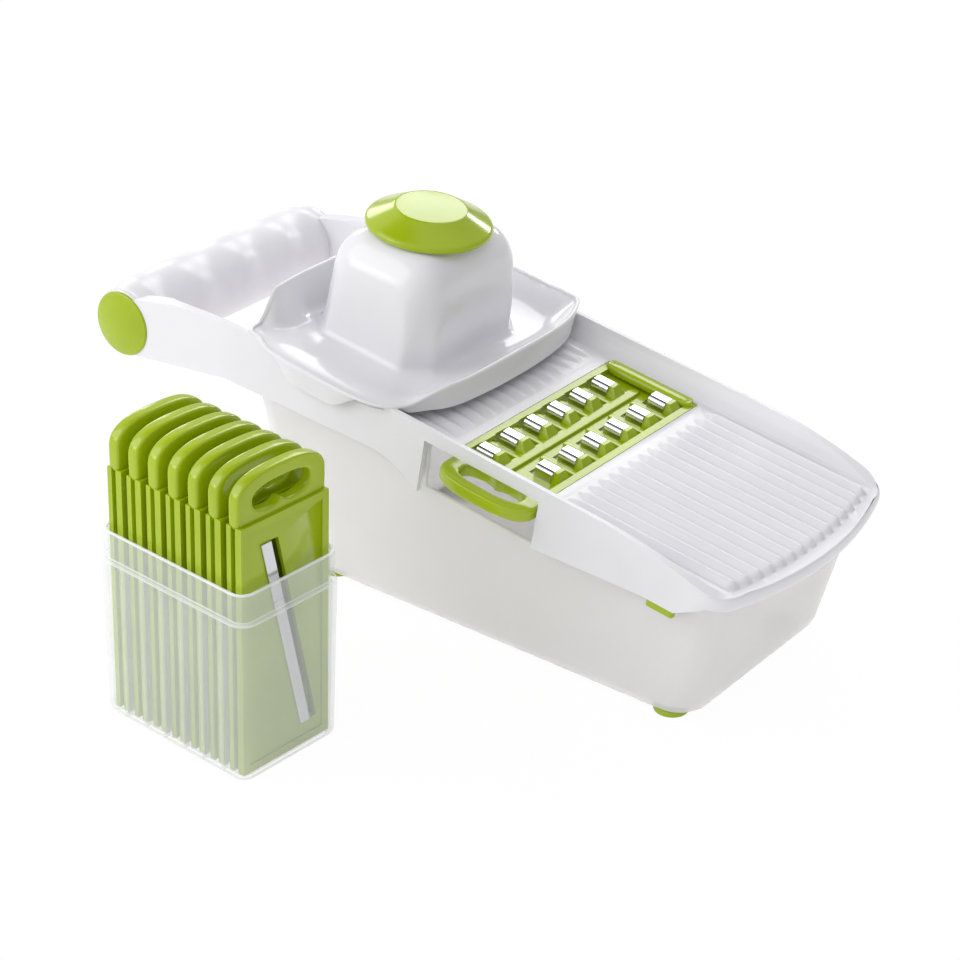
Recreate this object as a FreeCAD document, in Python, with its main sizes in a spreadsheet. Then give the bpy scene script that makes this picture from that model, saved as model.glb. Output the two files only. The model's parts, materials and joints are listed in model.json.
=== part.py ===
import FreeCAD, Part
import math
import os
import types

import Sketcher

Vector = FreeCAD.Vector

# Mandoline slicer set: a sloping slicer board on a catch container, with a grater insert in it,
# a hand guard with a pusher riding on its rails, and a storage case with seven spare inserts.
# Millimetres, +X to the ribbed front of the board, +Z up, table at z = 0.
# Deck coordinates: u forward along the board, v to the left, w square to the board,
# with their origin on the runway over the centre of the grater insert.

SIZES = [
    # Places on the table
    ("slicer_x", 46.097, "insert centre from the middle of the set, along X"),
    ("slicer_y", 59.98, "insert centre from the middle of the set, along Y"),
    ("case_behind", 52.5, "case centre behind the insert centre"),
    ("case_aside", 156.1, "case centre to the right of the insert centre"),
    ("case_yaw", -4.2, "turn of the case on the table, degrees"),
    # Slicer board
    ("deck_height", 82.0, "runway above the table at the insert centre"),
    ("deck_tilt", 8.0, "slope of the runway down to the front, degrees"),
    ("board_width", 123.0, "over the rails"),
    ("rail_width", 8.1, "rail at the runway"),
    ("rail_height", 8.6, "rail crown above the runway"),
    ("rail_crown", 2.0, "width of the rail crown"),
    ("rail_hollow", 14.0, "radius of the hollow side of a rail"),
    ("deck_thickness", 2.4, "runway plate"),
    ("board_wall", 2.4, "skirt wall"),
    ("deck_back", 133.0, "rear edge of the runway behind the insert centre"),
    ("deck_front", 115.0, "front edge at the middle"),
    ("front_bow", 7.0, "front edge at the corners behind the middle"),
    ("front_corner", 14.0, "corner radius of the front in plan"),
    ("front_lip", 5.0, "depth of the front lip"),
    ("skirt_front", 101.0, "front end of the side skirts"),
    ("skirt_step", 13.0, "length of the slanted front end of a skirt"),
    ("skirt_depth_front", 13.0, "skirt below the runway near the front"),
    ("skirt_depth_slot", 18.3, "skirt below the runway in front of the insert slot"),
    ("flare_depth", 20.8, "skirt below the runway behind the insert slot"),
    ("flare_length", 25.0, "length of the flare behind the slot"),
    ("skirt_depth_mid", 12.7, "skirt below the runway behind the flare"),
    ("skirt_depth_back", 17.5, "skirt below the runway at its rear edge"),
    ("rail_level_front", 45.0, "where the rails begin to fall to the front"),
    ("rail_level_back", 118.0, "where the rails begin to fall to the handle"),
    ("rail_fade", 11.0, "rail ends behind the front edge"),
    ("arm_width", 7.0, "handle arm"),
    ("opening_corner", 9.0, "corner radius of the handle opening"),
    ("grip_back", 190.0, "grip axis behind the insert centre"),
    ("grip_drop", 18.0, "grip axis below the runway plane"),
    ("grip_radius", 14.6, "mean radius of the grip"),
    ("grip_end_radius", 13.2, "round ends of the arms"),
    ("arm_join", 15.0, "where an arm runs into its round end, degrees from the upright"),
    ("grip_bore", 18.0, "bore of the hollow grip"),
    ("finger_pitch", 28.6, "finger grooves along the grip"),
    ("finger_depth", 0.8, "groove below and swell above the mean radius"),
    ("cap_height", 3.2, "end cap dome"),
    ("cap_plug", 9.0, "end cap plug length"),
    ("fit_gap", 0.05, "push fit, on the radius"),
    ("rib_count", 15, "ribs across the front of the deck"),
    ("rib_pitch", 6.75, "rib spacing"),
    ("rib_width", 4.2, "rib at the deck"),
    ("rib_height", 1.5, "front rib above the deck"),
    ("back_rib_height", 0.5, "rear rib above the deck"),
    ("rib_taper", 5.0, "pointed end of a rib"),
    ("rib_start", 26.5, "front ribs begin, from the insert centre"),
    ("rib_end", 104.0, "front ribs end"),
    ("pad_length", 12.0, "grip pad under the front corner"),
    ("pad_height", 3.0, "pad below the skirt"),
    ("pad_overhang", 0.8, "pad inside the skirt wall"),
    ("pad_margin", 2.0, "level skirt behind the pad"),
    # Blade inserts
    ("insert_width", 44.0, "across the slot"),
    ("insert_near_gap", 1.6, "near end of the body inside the foot of the right rail"),
    ("insert_far_gap", 2.2, "far end of the body inside the foot of the left rail"),
    ("insert_thickness", 7.4, "frame"),
    ("insert_gap", 0.3, "sliding clearance all round"),
    ("groove_depth", 2.0, "side groove of the frame"),
    ("groove_height", 2.2, "side groove of the frame"),
    ("groove_top", 3.0, "groove below the top of the frame"),
    ("guide_wall", 2.0, "guide walls under the deck"),
    ("guide_margin", 1.0, "guide walls end inside the foot of the right rail"),
    ("loop_width", 44.0, "finger loop"),
    ("loop_length", 18.4, "finger loop beyond the body"),
    ("loop_corner", 19.0, "outer corners of the loop"),
    ("loop_top", 1.5, "loop below the top of the frame"),
    ("loop_bottom", 0.6, "loop above the underside of the frame"),
    ("loop_rim", 5.5, "bar round the finger hole"),
    ("hole_height", 10.5, "finger hole along the insert"),
    ("finger_scallop", 7.6, "radius of the finger scallops"),
    ("rim_width", 3.2, "frame rim round the plate"),
    ("plate_drop", 2.6, "plate below the frame rim"),
    ("plate_thickness", 1.8, "plate of the insert"),
    ("tooth_pitch", 15.6, "grater teeth along a row"),
    ("tooth_first", 44.6, "first tooth of the rear row, right of the centre"),
    ("tooth_row_back", 12.5, "rear row behind the insert centre"),
    ("tooth_row_front", 10.5, "front row ahead of the insert centre"),
    ("tooth_length", 7.8, "steel hood along the board"),
    ("tooth_width", 7.6, "steel hood across the board"),
    ("tooth_top", 2.2, "hood above the runway"),
    ("tooth_sheet", 0.5, "sheet steel of a hood"),
    ("fence_top", 1.6, "fence at the far end above the runway"),
    ("ramp_length", 5.6, "moulded ramp in front of a hood"),
    ("slot_back", 32.0, "slot in the right skirt, behind the insert centre"),
    ("slot_front", 23.3, "slot in the right skirt, ahead of the insert centre"),
    ("slot_top", 2.8, "top of that slot above the runway"),
    # Hand guard and pusher
    ("guard_back", 86.0, "dome axis behind the insert centre"),
    ("tray_back", 41.0, "tray behind the dome axis"),
    ("tray_front", 43.0, "tray ahead of the dome axis"),
    ("ear_gap", 0.7, "ears outside the rails"),
    ("tray_corner", 16.0, "tray corners in plan"),
    ("tray_wall", 2.0, "tray plate and rim"),
    ("tray_floor", 4.6, "underside of the dish above the runway"),
    ("dish_inset", 12.0, "dish inside the tray edge at the sides"),
    ("dish_edge", 3.0, "dish inside the tray edge at front and rear"),
    ("ride_gap", 0.3, "tray above the rails"),
    ("tray_rim_back", 23.0, "rear rim above the runway"),
    ("tray_rim_mid", 12.6, "side rim above the runway"),
    ("tray_rim_front", 16.0, "front rim above the runway"),
    ("ear_length", 37.0, "ears beside the rails"),
    ("ear_drop", 1.0, "ears below the runway"),
    ("ear_corner", 6.0, "lower corners of the ears"),
    ("dome_length", 62.0, "dome foot along the board"),
    ("dome_width", 72.0, "dome foot across the board"),
    ("dome_chamfer", 14.0, "cut corners of the dome"),
    ("dome_top", 53.0, "dome top above the runway"),
    ("dome_wall", 2.0, "dome"),
    ("stem_diameter", 14.0, "pusher stem"),
    ("stem_gap", 0.1, "stem in its collar, on the radius"),
    ("collar_wall", 2.5, "collar round the stem"),
    ("collar_length", 8.0, "collar under the dome top"),
    ("knob_diameter", 51.0, "knob"),
    ("knob_height", 7.8, "knob"),
    ("knob_rim", 2.2, "edge of the knob"),
    ("knob_flat", 30.0, "flat top of the knob"),
    ("knob_gap", 0.3, "knob above the dome"),
    ("pusher_diameter", 46.0, "pusher plate"),
    ("pusher_plate", 3.0, "pusher plate thickness"),
    ("pusher_bottom", 12.0, "pusher plate above the runway"),
    ("pin_diameter", 2.2, "food pins"),
    ("pin_length", 8.0, "food pins"),
    ("pin_ring_inner", 10.5, "inner ring of pins"),
    ("pin_ring_outer", 20.5, "outer ring of pins"),
    # Catch container
    ("foot_height", 3.0, "foot pads"),
    ("foot_diameter", 14.0, "foot pads"),
    ("foot_front_inset", 14.0, "front feet behind the front wall at the floor"),
    ("foot_back_inset", 20.0, "rear feet ahead of the rear wall at the floor"),
    ("foot_side_inset", 10.8, "feet inside the side walls at the floor"),
    ("tub_top", 105.0, "height to which the walls are drawn before the sloping rim"),
    ("tub_back_lean", 18.6, "rear wall leans out, floor to drawn height"),
    ("tub_front_lean", 22.0, "front wall leans out, floor to drawn height"),
    ("tub_front_gap", 4.0, "front wall behind the front edge of the board at the drawn height"),
    ("tub_side_lean", 8.2, "side walls lean out, floor to drawn height"),
    ("tub_side_gap", 0.1, "walls inside the skirts at the drawn height"),
    ("tub_corner", 13.0, "upright corners"),
    ("tub_bottom_round", 6.0, "bottom edge"),
    ("tub_wall", 1.8, "wall"),
    ("seat_gap", 0.1, "board above the rim"),
    # Storage case
    ("case_end_gap", 1.9, "end walls from the inserts"),
    ("case_side_gap", 1.7, "side walls from the inserts"),
    ("case_lean", 0.9, "walls lean out, table to ledge"),
    ("case_ledge", 67.3, "ledge above the table"),
    ("case_height", 79.8, "rim above the table"),
    ("case_rim_inset", 0.9, "rim inside the ledge"),
    ("case_corner", 6.0, "upright corners"),
    ("case_floor", 1.6, "floor"),
    ("case_wall", 1.6, "wall at the rim"),
    ("case_pitch", 10.3, "spacing of the spare inserts"),
    ("divider_thickness", 1.0, "dividing ribs"),
    ("divider_depth", 3.2, "dividing ribs, from the inner wall"),
    ("divider_drop", 1.3, "dividing ribs end below the ledge"),
    # Cutters of the spare inserts
    ("blade_sheet", 0.8, "blade thickness"),
    ("blade_width", 5.0, "blade across its edge"),
    ("blade_slant", 19.5, "blade across the insert, end to end"),
    ("blade_reach", 84.0, "blade along the insert"),
    ("throat", 4.0, "gap in front of a blade edge"),
    ("thick_throat", 6.5, "gap in front of the edge of the thick slicer"),
    ("wave_length", 8.0, "waves of the crinkle blade"),
    ("wave_depth", 1.0, "waves of the crinkle blade"),
    ("blade_seat", 0.6, "plate of a slicing insert below its rim"),
    ("grater_ledge", 3.0, "ledge that carries a grater sheet"),
    ("knife_depth", 3.0, "upright julienne knives"),
    ("knife_sheet", 0.6, "julienne knife thickness"),
    ("fine_knife_pitch", 4.0, "fine julienne spacing"),
    ("coarse_knife_pitch", 8.0, "coarse julienne spacing"),
    ("grater_sheet", 0.6, "sheet of the small graters"),
    ("fine_hole", 3.2, "holes of the fine grater"),
    ("fine_hole_pitch", 6.6, "hole spacing of the fine grater"),
    ("coarse_hole", 5.2, "holes of the coarse grater"),
    ("coarse_hole_pitch", 9.4, "hole spacing of the coarse grater"),
]

doc = FreeCAD.newDocument("MandolineSlicer")
sheet = doc.addObject("Spreadsheet::Sheet", "Sizes")


class Size:
    """A number that carries its value and the sheet formula it comes from."""

    def __init__(self, value, formula):
        self.value = value
        self.formula = formula

    def __add__(self, other):
        other = as_size(other)
        return Size(self.value + other.value, "(%s + %s)" % (self.formula, other.formula))

    def __sub__(self, other):
        other = as_size(other)
        return Size(self.value - other.value, "(%s - %s)" % (self.formula, other.formula))

    def __mul__(self, other):
        other = as_size(other)
        return Size(self.value * other.value, "(%s * %s)" % (self.formula, other.formula))

    def __truediv__(self, other):
        other = as_size(other)
        return Size(self.value / other.value, "(%s / %s)" % (self.formula, other.formula))

    def __neg__(self):
        return Size(-self.value, "(0 - %s)" % self.formula)

    def __radd__(self, other):
        return as_size(other) + self

    def __rsub__(self, other):
        return as_size(other) - self

    def __rmul__(self, other):
        return as_size(other) * self


def as_size(number):
    """A Size as it is, or a plain number as a Size."""
    if isinstance(number, Size):
        return number
    return Size(float(number), "(%r)" % float(number))


def sine(angle):
    return Size(math.sin(math.radians(angle.value)), "sin(%s)" % angle.formula)


def cosine(angle):
    return Size(math.cos(math.radians(angle.value)), "cos(%s)" % angle.formula)


def arc_sine(ratio):
    return Size(math.degrees(math.asin(ratio.value)), "asin(%s)" % ratio.formula)


def rise_radius(run, rise):
    """Radius of an arc that starts level and rises by rise over run."""
    return (run * run + rise * rise) / (2 * rise)


def fill_sheet():
    """Write every driving size to the sheet and return them by name."""
    named = types.SimpleNamespace()
    for row, (name, value, note) in enumerate(SIZES, start=1):
        sheet.set("A%d" % row, name)
        sheet.set("B%d" % row, str(value))
        sheet.setAlias("B%d" % row, name)
        sheet.set("C%d" % row, note)
        setattr(named, name, Size(float(value), "Sizes." + name))
    doc.recompute()
    return named


def derive_sizes(s):
    """Add the sizes that follow from others, so that pieces that fit together change together."""
    s.runway_width = s.board_width - 2 * s.rail_width
    s.insert_far = s.runway_width / 2 - s.insert_far_gap
    s.insert_body = s.runway_width - s.insert_far_gap - s.insert_near_gap
    s.tray_width = s.board_width + 2 * (s.ear_gap + s.tray_wall)
    s.tub_width_high = s.board_width - 2 * (s.board_wall + s.tub_side_gap)
    s.tub_width_low = s.tub_width_high - 2 * s.tub_side_lean
    s.tub_back_high = s.deck_back - s.board_wall - s.tub_side_gap
    s.tub_back_low = s.tub_back_high - s.tub_back_lean
    s.tub_front_high = s.deck_front - s.tub_front_gap
    s.tub_front_low = s.tub_front_high - s.tub_front_lean
    s.foot_front = s.tub_front_low - s.foot_front_inset
    s.foot_back = s.tub_back_low - s.foot_back_inset
    s.foot_spread = s.tub_width_low - 2 * s.foot_side_inset
    rim = s.case_rim_inset + s.case_wall
    s.case_length_high = SPARE_GAPS * s.case_pitch + s.insert_thickness + 2 * (rim + s.case_end_gap)
    s.case_length_low = s.case_length_high - 2 * s.case_lean
    s.case_width_high = s.insert_width + 2 * (rim + s.case_side_gap)
    s.case_width_low = s.case_width_high - 2 * s.case_lean
    s.divider_top = s.case_ledge - s.divider_drop
    return s


SPARE_GAPS = 6
size = derive_sizes(fill_sheet())


# Drawing and feature helpers

def bind(item, path, value):
    """Tie a property to the sheet, or set it where it is a plain number."""
    item.setExpression(path, as_size(value).formula)


def new_body(label):
    """An empty body named for its sub-part."""
    body = doc.addObject("PartDesign::Body", label)
    body.Label = label
    body.AllowCompound = True
    return body


def new_sketch(body, name, role, shift=(0, 0, 0)):
    """A sketch on one of the body's own planes, shifted by bound distances in its own axes."""
    sketch = body.newObject("Sketcher::SketchObject", name)
    plane = [item for item in body.Origin.OriginFeatures if item.Role == role][0]
    sketch.AttachmentSupport = (plane, [""])
    sketch.MapMode = "FlatFace"
    base = [as_size(distance) for distance in shift]
    sketch.AttachmentOffset = FreeCAD.Placement(
        Vector(*[distance.value for distance in base]), FreeCAD.Rotation())
    for axis, distance in zip("xyz", base):
        bind(sketch, "AttachmentOffset.Base." + axis, distance)
    return sketch


def constrain(sketch, kind, geometry, point, value):
    """Add one bound dimension to a sketch."""
    value = as_size(value)
    if point is None:
        index = sketch.addConstraint(Sketcher.Constraint(kind, geometry, value.value))
    else:
        index = sketch.addConstraint(Sketcher.Constraint(kind, geometry, point, value.value))
    name = "d%d" % index
    sketch.renameConstraint(index, name)
    bind(sketch, "Constraints." + name, value)


def arc_between(start, end, radius, turn):
    """The short arc from start to end; turn is 1 for anticlockwise and -1 for clockwise."""
    chord = end - start
    half = chord.Length / 2
    left = Vector(-chord.y, chord.x, 0) / chord.Length
    stand_off = math.sqrt(max(radius * radius - half * half, 0))
    centre = (start + end) / 2 + left * turn * stand_off
    first, last = (start, end) if turn > 0 else (end, start)
    angles = [math.atan2(point.y - centre.y, point.x - centre.x) for point in (first, last)]
    if angles[1] < angles[0]:
        angles[1] += 2 * math.pi
    return Part.ArcOfCircle(Part.Circle(centre, Vector(0, 0, 1), radius), *angles)


def draw(sketch, path):
    """Draw a closed path. Each step is a corner (x, y), reached by a straight line from the
    corner before it, or (x, y, radius, turn), reached on an arc."""
    corners = [(as_size(step[0]), as_size(step[1])) for step in path]
    points = [Vector(x.value, y.value, 0) for x, y in corners]
    count = len(path)
    ends = []
    for index in range(count):
        arrival = path[(index + 1) % count]
        start, end = points[index], points[(index + 1) % count]
        if len(arrival) == 2:
            geometry = sketch.addGeometry(Part.LineSegment(start, end))
            ends.append((geometry, 1, 2))
        else:
            radius, turn = as_size(arrival[2]), arrival[3]
            geometry = sketch.addGeometry(arc_between(start, end, radius.value, turn))
            ends.append((geometry, 1, 2) if turn > 0 else (geometry, 2, 1))
    for index in range(count):
        here, after = ends[index], ends[(index + 1) % count]
        sketch.addConstraint(
            Sketcher.Constraint("Coincident", here[0], here[2], after[0], after[1]))
    for index in range(count):
        geometry, first, _ = ends[index]
        constrain(sketch, "DistanceX", geometry, first, corners[index][0])
        constrain(sketch, "DistanceY", geometry, first, corners[index][1])
        arrival = path[(index + 1) % count]
        if len(arrival) == 4:
            constrain(sketch, "Radius", geometry, None, arrival[2])
    return sketch


def draw_circle(sketch, x, y, diameter):
    """A circle with a bound centre and diameter."""
    x, y, diameter = as_size(x), as_size(y), as_size(diameter)
    circle = Part.Circle(Vector(x.value, y.value, 0), Vector(0, 0, 1), diameter.value / 2)
    geometry = sketch.addGeometry(circle)
    constrain(sketch, "DistanceX", geometry, 3, x)
    constrain(sketch, "DistanceY", geometry, 3, y)
    constrain(sketch, "Diameter", geometry, None, diameter)
    return sketch


def rectangle(x_low, x_high, y_low, y_high):
    """Four corners, anticlockwise."""
    return [(x_low, y_low), (x_high, y_low), (x_high, y_high), (x_low, y_high)]


def rounded_rectangle(x_low, x_high, y_low, y_high, radius):
    """A rectangle with four round corners, anticlockwise."""
    return [
        (x_low + radius, y_low), (x_high - radius, y_low), (x_high, y_low + radius, radius, 1),
        (x_high, y_high - radius), (x_high - radius, y_high, radius, 1),
        (x_low + radius, y_high), (x_low, y_high - radius, radius, 1),
        (x_low, y_low + radius), (x_low + radius, y_low, radius, 1),
    ][1:]


def octagon(half_x, half_y, chamfer):
    """A rectangle with cut corners, anticlockwise."""
    return [
        (half_x, -(half_y - chamfer)), (half_x, half_y - chamfer),
        (half_x - chamfer, half_y), (-(half_x - chamfer), half_y),
        (-half_x, half_y - chamfer), (-half_x, -(half_y - chamfer)),
        (-(half_x - chamfer), -half_y), (half_x - chamfer, -half_y),
    ]


def extrude(body, kind, sketch, name, length, both=False, flip=False):
    """A Pad or a Pocket; length None cuts through everything."""
    feature = body.newObject("PartDesign::" + kind, name)
    feature.Profile = sketch
    if both:
        feature.SideType = "Symmetric"
    if length is None:
        feature.Type = "ThroughAll"
    else:
        bind(feature, "Length", length)
    feature.Reversed = flip
    return feature


def pad(body, sketch, name, length, both=False, flip=False):
    return extrude(body, "Pad", sketch, name, length, both, flip)


def pocket(body, sketch, name, length=None, both=False, flip=False):
    return extrude(body, "Pocket", sketch, name, length, both, flip)


def revolve(body, sketch, name, axis, angle=360):
    """Turn a sketch about one of its own axes."""
    feature = body.newObject("PartDesign::Revolution", name)
    feature.Profile = sketch
    feature.ReferenceAxis = (sketch, [axis])
    feature.Angle = angle
    return feature


def loft(body, kind, name, sketches, ruled=True):
    """An AdditiveLoft or a SubtractiveLoft through sketches in order."""
    feature = body.newObject("PartDesign::" + kind, name)
    feature.Profile = sketches[0]
    feature.Sections = sketches[1:]
    feature.Ruled = ruled
    return feature


def round_bottomed(body, kind, name, low, high, corner, bottom):
    """A loft through rounded rectangles: a bottom edge that rounds up in steps, then straight
    walls that open out. low and high are (z, x_low, x_high, half width)."""
    sketches = []
    for number, turn in enumerate((0, 30, 60, 90, None)):
        if turn is None:
            z, x_low, x_high, half = high
            radius = corner
        else:
            drawn_in = bottom * (1 - math.sin(math.radians(turn)))
            rise = bottom * (1 - math.cos(math.radians(turn)))
            share = rise / (high[0] - low[0])
            z, x_low, x_high, half = [a + (b - a) * share for a, b in zip(low, high)]
            x_low, x_high, half = x_low + drawn_in, x_high - drawn_in, half - drawn_in
            radius = corner - 0.7 * drawn_in
        sketch = new_sketch(body, "%s%d" % (name, number), "XY_Plane", (0, 0, z))
        sketches.append(draw(sketch, rounded_rectangle(x_low, x_high, -half, half, radius)))
    return loft(body, kind, name + "Loft", sketches)


def row(body, originals, name, sketch, axis, count, pitch):
    """Repeat features in a row along a sketch axis."""
    feature = body.newObject("PartDesign::LinearPattern", name)
    feature.Originals = originals
    feature.Direction = (sketch, [axis])
    feature.Mode = "Spacing"
    bind(feature, "Occurrences", count)
    bind(feature, "Offset", pitch)
    body.Tip = feature
    return feature


def ring(body, originals, name, sketch, axis, count):
    """Repeat features evenly round a sketch axis."""
    feature = body.newObject("PartDesign::PolarPattern", name)
    feature.Originals = originals
    feature.Axis = (sketch, [axis])
    feature.Angle = 360
    feature.Occurrences = count
    body.Tip = feature
    return feature


def mirror(body, originals, name, sketch, axis):
    """Mirror features across the plane through a sketch axis, square to the sketch."""
    feature = body.newObject("PartDesign::Mirrored", name)
    feature.Originals = originals
    feature.MirrorPlane = (sketch, [axis])
    body.Tip = feature
    return feature


def round_edges(body, name, base, radius, wanted):
    """Round those edges of a feature that the test picks out."""
    doc.recompute()
    names = ["Edge%d" % number for number, edge in enumerate(base.Shape.Edges, 1) if wanted(edge)]
    feature = body.newObject("PartDesign::Fillet", name)
    feature.Base = (base, names)
    bind(feature, "Radius", radius)
    return feature


def reverse_path(path):
    """The same open path walked backwards."""
    back = [path[-1][:2]]
    for index in range(len(path) - 2, -1, -1):
        corner, after = path[index][:2], path[index + 1]
        back.append(corner if len(after) == 2 else corner + (after[2], -after[3]))
    return back


def edge_at_height(z):
    """A test for edges that lie level at a height."""
    def wanted(edge):
        return max(abs(vertex.Point.z - z) for vertex in edge.Vertexes) < 0.01
    return wanted


def place(body, x, y, z, axis, angle):
    """Bind a body's place on the table and its turn about one axis."""
    body.Placement = FreeCAD.Placement(Vector(0, 0, 0), FreeCAD.Rotation(axis, 1))
    for name, value in zip("xyz", (x, y, z)):
        bind(body, "Placement.Base." + name, value)
    bind(body, "Placement.Rotation.Angle", angle)


def on_table(body, ahead=0, left=0):
    """Place a body that stands square beside the insert centre."""
    place(body, size.slicer_x + ahead, size.slicer_y + left, 0, Vector(0, 0, 1), 0)


def on_deck(body, u=0):
    """Place a body in deck coordinates, its own origin at u along the runway."""
    x = size.slicer_x + cosine(size.deck_tilt) * u
    z = size.deck_height - sine(size.deck_tilt) * u
    place(body, x, size.slicer_y, z, Vector(0, 1, 0), size.deck_tilt)


def in_case(body):
    """Place a body in the storage case's own coordinates."""
    place(body, size.slicer_x - size.case_behind, size.slicer_y - size.case_aside, 0,
          Vector(0, 0, 1), size.case_yaw)


def deck_point(u, w):
    """A deck point as X and Z from the table point under the insert centre."""
    tilt = size.deck_tilt
    return (cosine(tilt) * u + sine(tilt) * w,
            size.deck_height - sine(tilt) * u + cosine(tilt) * w)


BEYOND = 60


# Slicer board

def board_side():
    """Side view of the board: rails, skirts with the flare at the slot, and the handle arms."""
    s = size
    rail_end = s.deck_front - s.rail_fade
    radius = s.grip_end_radius
    arm_end_u = radius * sine(s.arm_join) - s.grip_back
    arm_half = radius * cosine(s.arm_join)
    arm_run = -s.rail_level_back - arm_end_u
    arm_fall = s.rail_height + s.grip_drop - arm_half
    flare_start = -(s.slot_back + s.flare_length)
    flare_fall = s.flare_depth - s.skirt_depth_mid
    level_end = s.skirt_front - s.skirt_step
    return [
        (s.deck_front + 1, -s.front_lip),
        (s.deck_front + 1, 0),
        (rail_end, 0),
        (s.rail_level_front, s.rail_height,
         rise_radius(rail_end - s.rail_level_front, s.rail_height), 1),
        (-s.rail_level_back, s.rail_height),
        (arm_end_u, arm_half - s.grip_drop, rise_radius(arm_run, arm_fall), 1),
        (-s.grip_back - radius, -s.grip_drop, radius, 1),
        (arm_end_u, -arm_half - s.grip_drop, radius, 1),
        (-s.deck_back, -s.skirt_depth_back),
        (flare_start, -s.skirt_depth_mid),
        (-s.slot_back, -s.flare_depth, rise_radius(s.flare_length, flare_fall), -1),
        (s.slot_front, -s.skirt_depth_slot),
        (level_end - s.pad_length - s.pad_margin, -s.skirt_depth_front),
        (level_end, -s.skirt_depth_front),
        (s.skirt_front, -s.front_lip),
    ]


def board_front(inset):
    """Bowed front of the board in plan, from corner to corner, moved inwards by inset."""
    s = size
    half = s.board_width / 2 - inset
    radius = s.front_corner - inset
    edge = s.deck_front - s.front_bow - inset
    bow = rise_radius(half - radius, s.front_bow)
    return [
        (edge - radius, -half),
        (edge, radius - half, radius, 1),
        (edge, half - radius, bow, 1),
        (edge - radius, half, radius, 1),
    ]


def cut_board_plan(body):
    """Bow the front, open the space for the hand, and hollow the underside."""
    s = size
    half = s.board_width / 2
    front = board_front(0)
    trim = new_sketch(body, "FrontTrim", "XY_Plane")
    draw(trim, [(front[0][0], -half - 1), (s.deck_front + BEYOND, -half - 1),
                (s.deck_front + BEYOND, half + 1), (front[-1][0], half + 1)] + reverse_path(front))
    pocket(body, trim, "FrontCut", both=True)

    inner, radius = half - s.arm_width, s.opening_corner
    behind = -s.grip_back - BEYOND
    opening = new_sketch(body, "HandOpening", "XY_Plane")
    draw(opening, [
        (behind, -inner), (-s.deck_back - radius, -inner),
        (-s.deck_back, radius - inner, radius, 1), (-s.deck_back, inner - radius),
        (-s.deck_back - radius, inner, radius, 1), (behind, inner),
    ])
    pocket(body, opening, "HandOpeningCut", both=True)

    back = s.board_wall - s.deck_back
    cavity = new_sketch(body, "Underside", "XY_Plane", (0, 0, -s.deck_thickness))
    draw(cavity, [(back, s.board_wall - half)] + board_front(s.board_wall)
         + [(back, half - s.board_wall)])
    pocket(body, cavity, "UndersideCut")


def cut_runway(body):
    """Sink the runway between the hollow-sided rails."""
    s = size
    foot, crown = s.runway_width / 2, s.board_width / 2 - s.rail_crown
    over = s.rail_height + BEYOND
    trough = new_sketch(body, "Runway", "YZ_Plane")
    draw(trough, [
        (-foot, 0, s.rail_hollow, 1), (foot, 0), (crown, s.rail_height, s.rail_hollow, 1),
        (crown, over), (-crown, over), (-crown, s.rail_height),
    ])
    pocket(body, trough, "RunwayCut", both=True)


def cut_insert_slot(body):
    """Open the window for an insert and the slot in the right rail, and add the guide tongues."""
    s = size
    half, foot = s.board_width / 2, s.runway_width / 2
    side = s.insert_width / 2 + s.insert_gap
    far = s.insert_far + s.insert_gap
    window = new_sketch(body, "InsertWindow", "XY_Plane")
    draw(window, rectangle(-side, side, -foot, far))
    pocket(body, window, "InsertWindowCut", both=True)

    slot = new_sketch(body, "InsertSlot", "XZ_Plane", (0, 0, half + 1))
    draw(slot, rectangle(-s.slot_back, s.slot_front, -s.flare_depth - BEYOND, s.slot_top))
    pocket(body, slot, "InsertSlotCut", half + 1 - foot)

    tip = side - s.groove_depth
    tongue_top = -(s.groove_top + s.insert_gap)
    tongue_bottom = -(s.groove_top + s.groove_height - s.insert_gap)
    under, deep = -s.deck_thickness, -(s.insert_thickness + s.guide_wall)
    guide = [(side, under), (side, tongue_top), (tip, tongue_top), (tip, tongue_bottom),
             (side, tongue_bottom), (side, deep), (side + s.guide_wall, deep),
             (side + s.guide_wall, under)]
    guides = new_sketch(body, "InsertGuides", "XZ_Plane", (0, 0, -far))
    draw(guides, guide)
    draw(guides, [(-u, w) for u, w in guide])
    pad(body, guides, "InsertGuidePair", far + foot - s.guide_margin)


def add_ribs(body, name, start, end, height):
    """A row of low round ribs with pointed ends along the runway."""
    s = size
    radius = rise_radius(s.rib_width / 2, height)
    root = radius - height - s.deck_thickness / 4
    first = s.rib_pitch * (s.rib_count - 1) / 2
    swell = rise_radius(s.rib_taper, radius - root)
    profile = new_sketch(body, name + "Profile", "XZ_Plane", (0, height - radius, -first))
    draw(profile, [
        (start, root, swell, 1), (end, root), (end - s.rib_taper, radius, swell, 1),
        (start + s.rib_taper, radius),
    ])
    rib = revolve(body, profile, name, "H_Axis")
    rib.Midplane = True
    bind(rib, "Angle", 2 * arc_sine(s.rib_width / 2 / radius))
    row(body, [rib], name + "Row", profile, "N_Axis", s.rib_count, s.rib_pitch)


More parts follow.
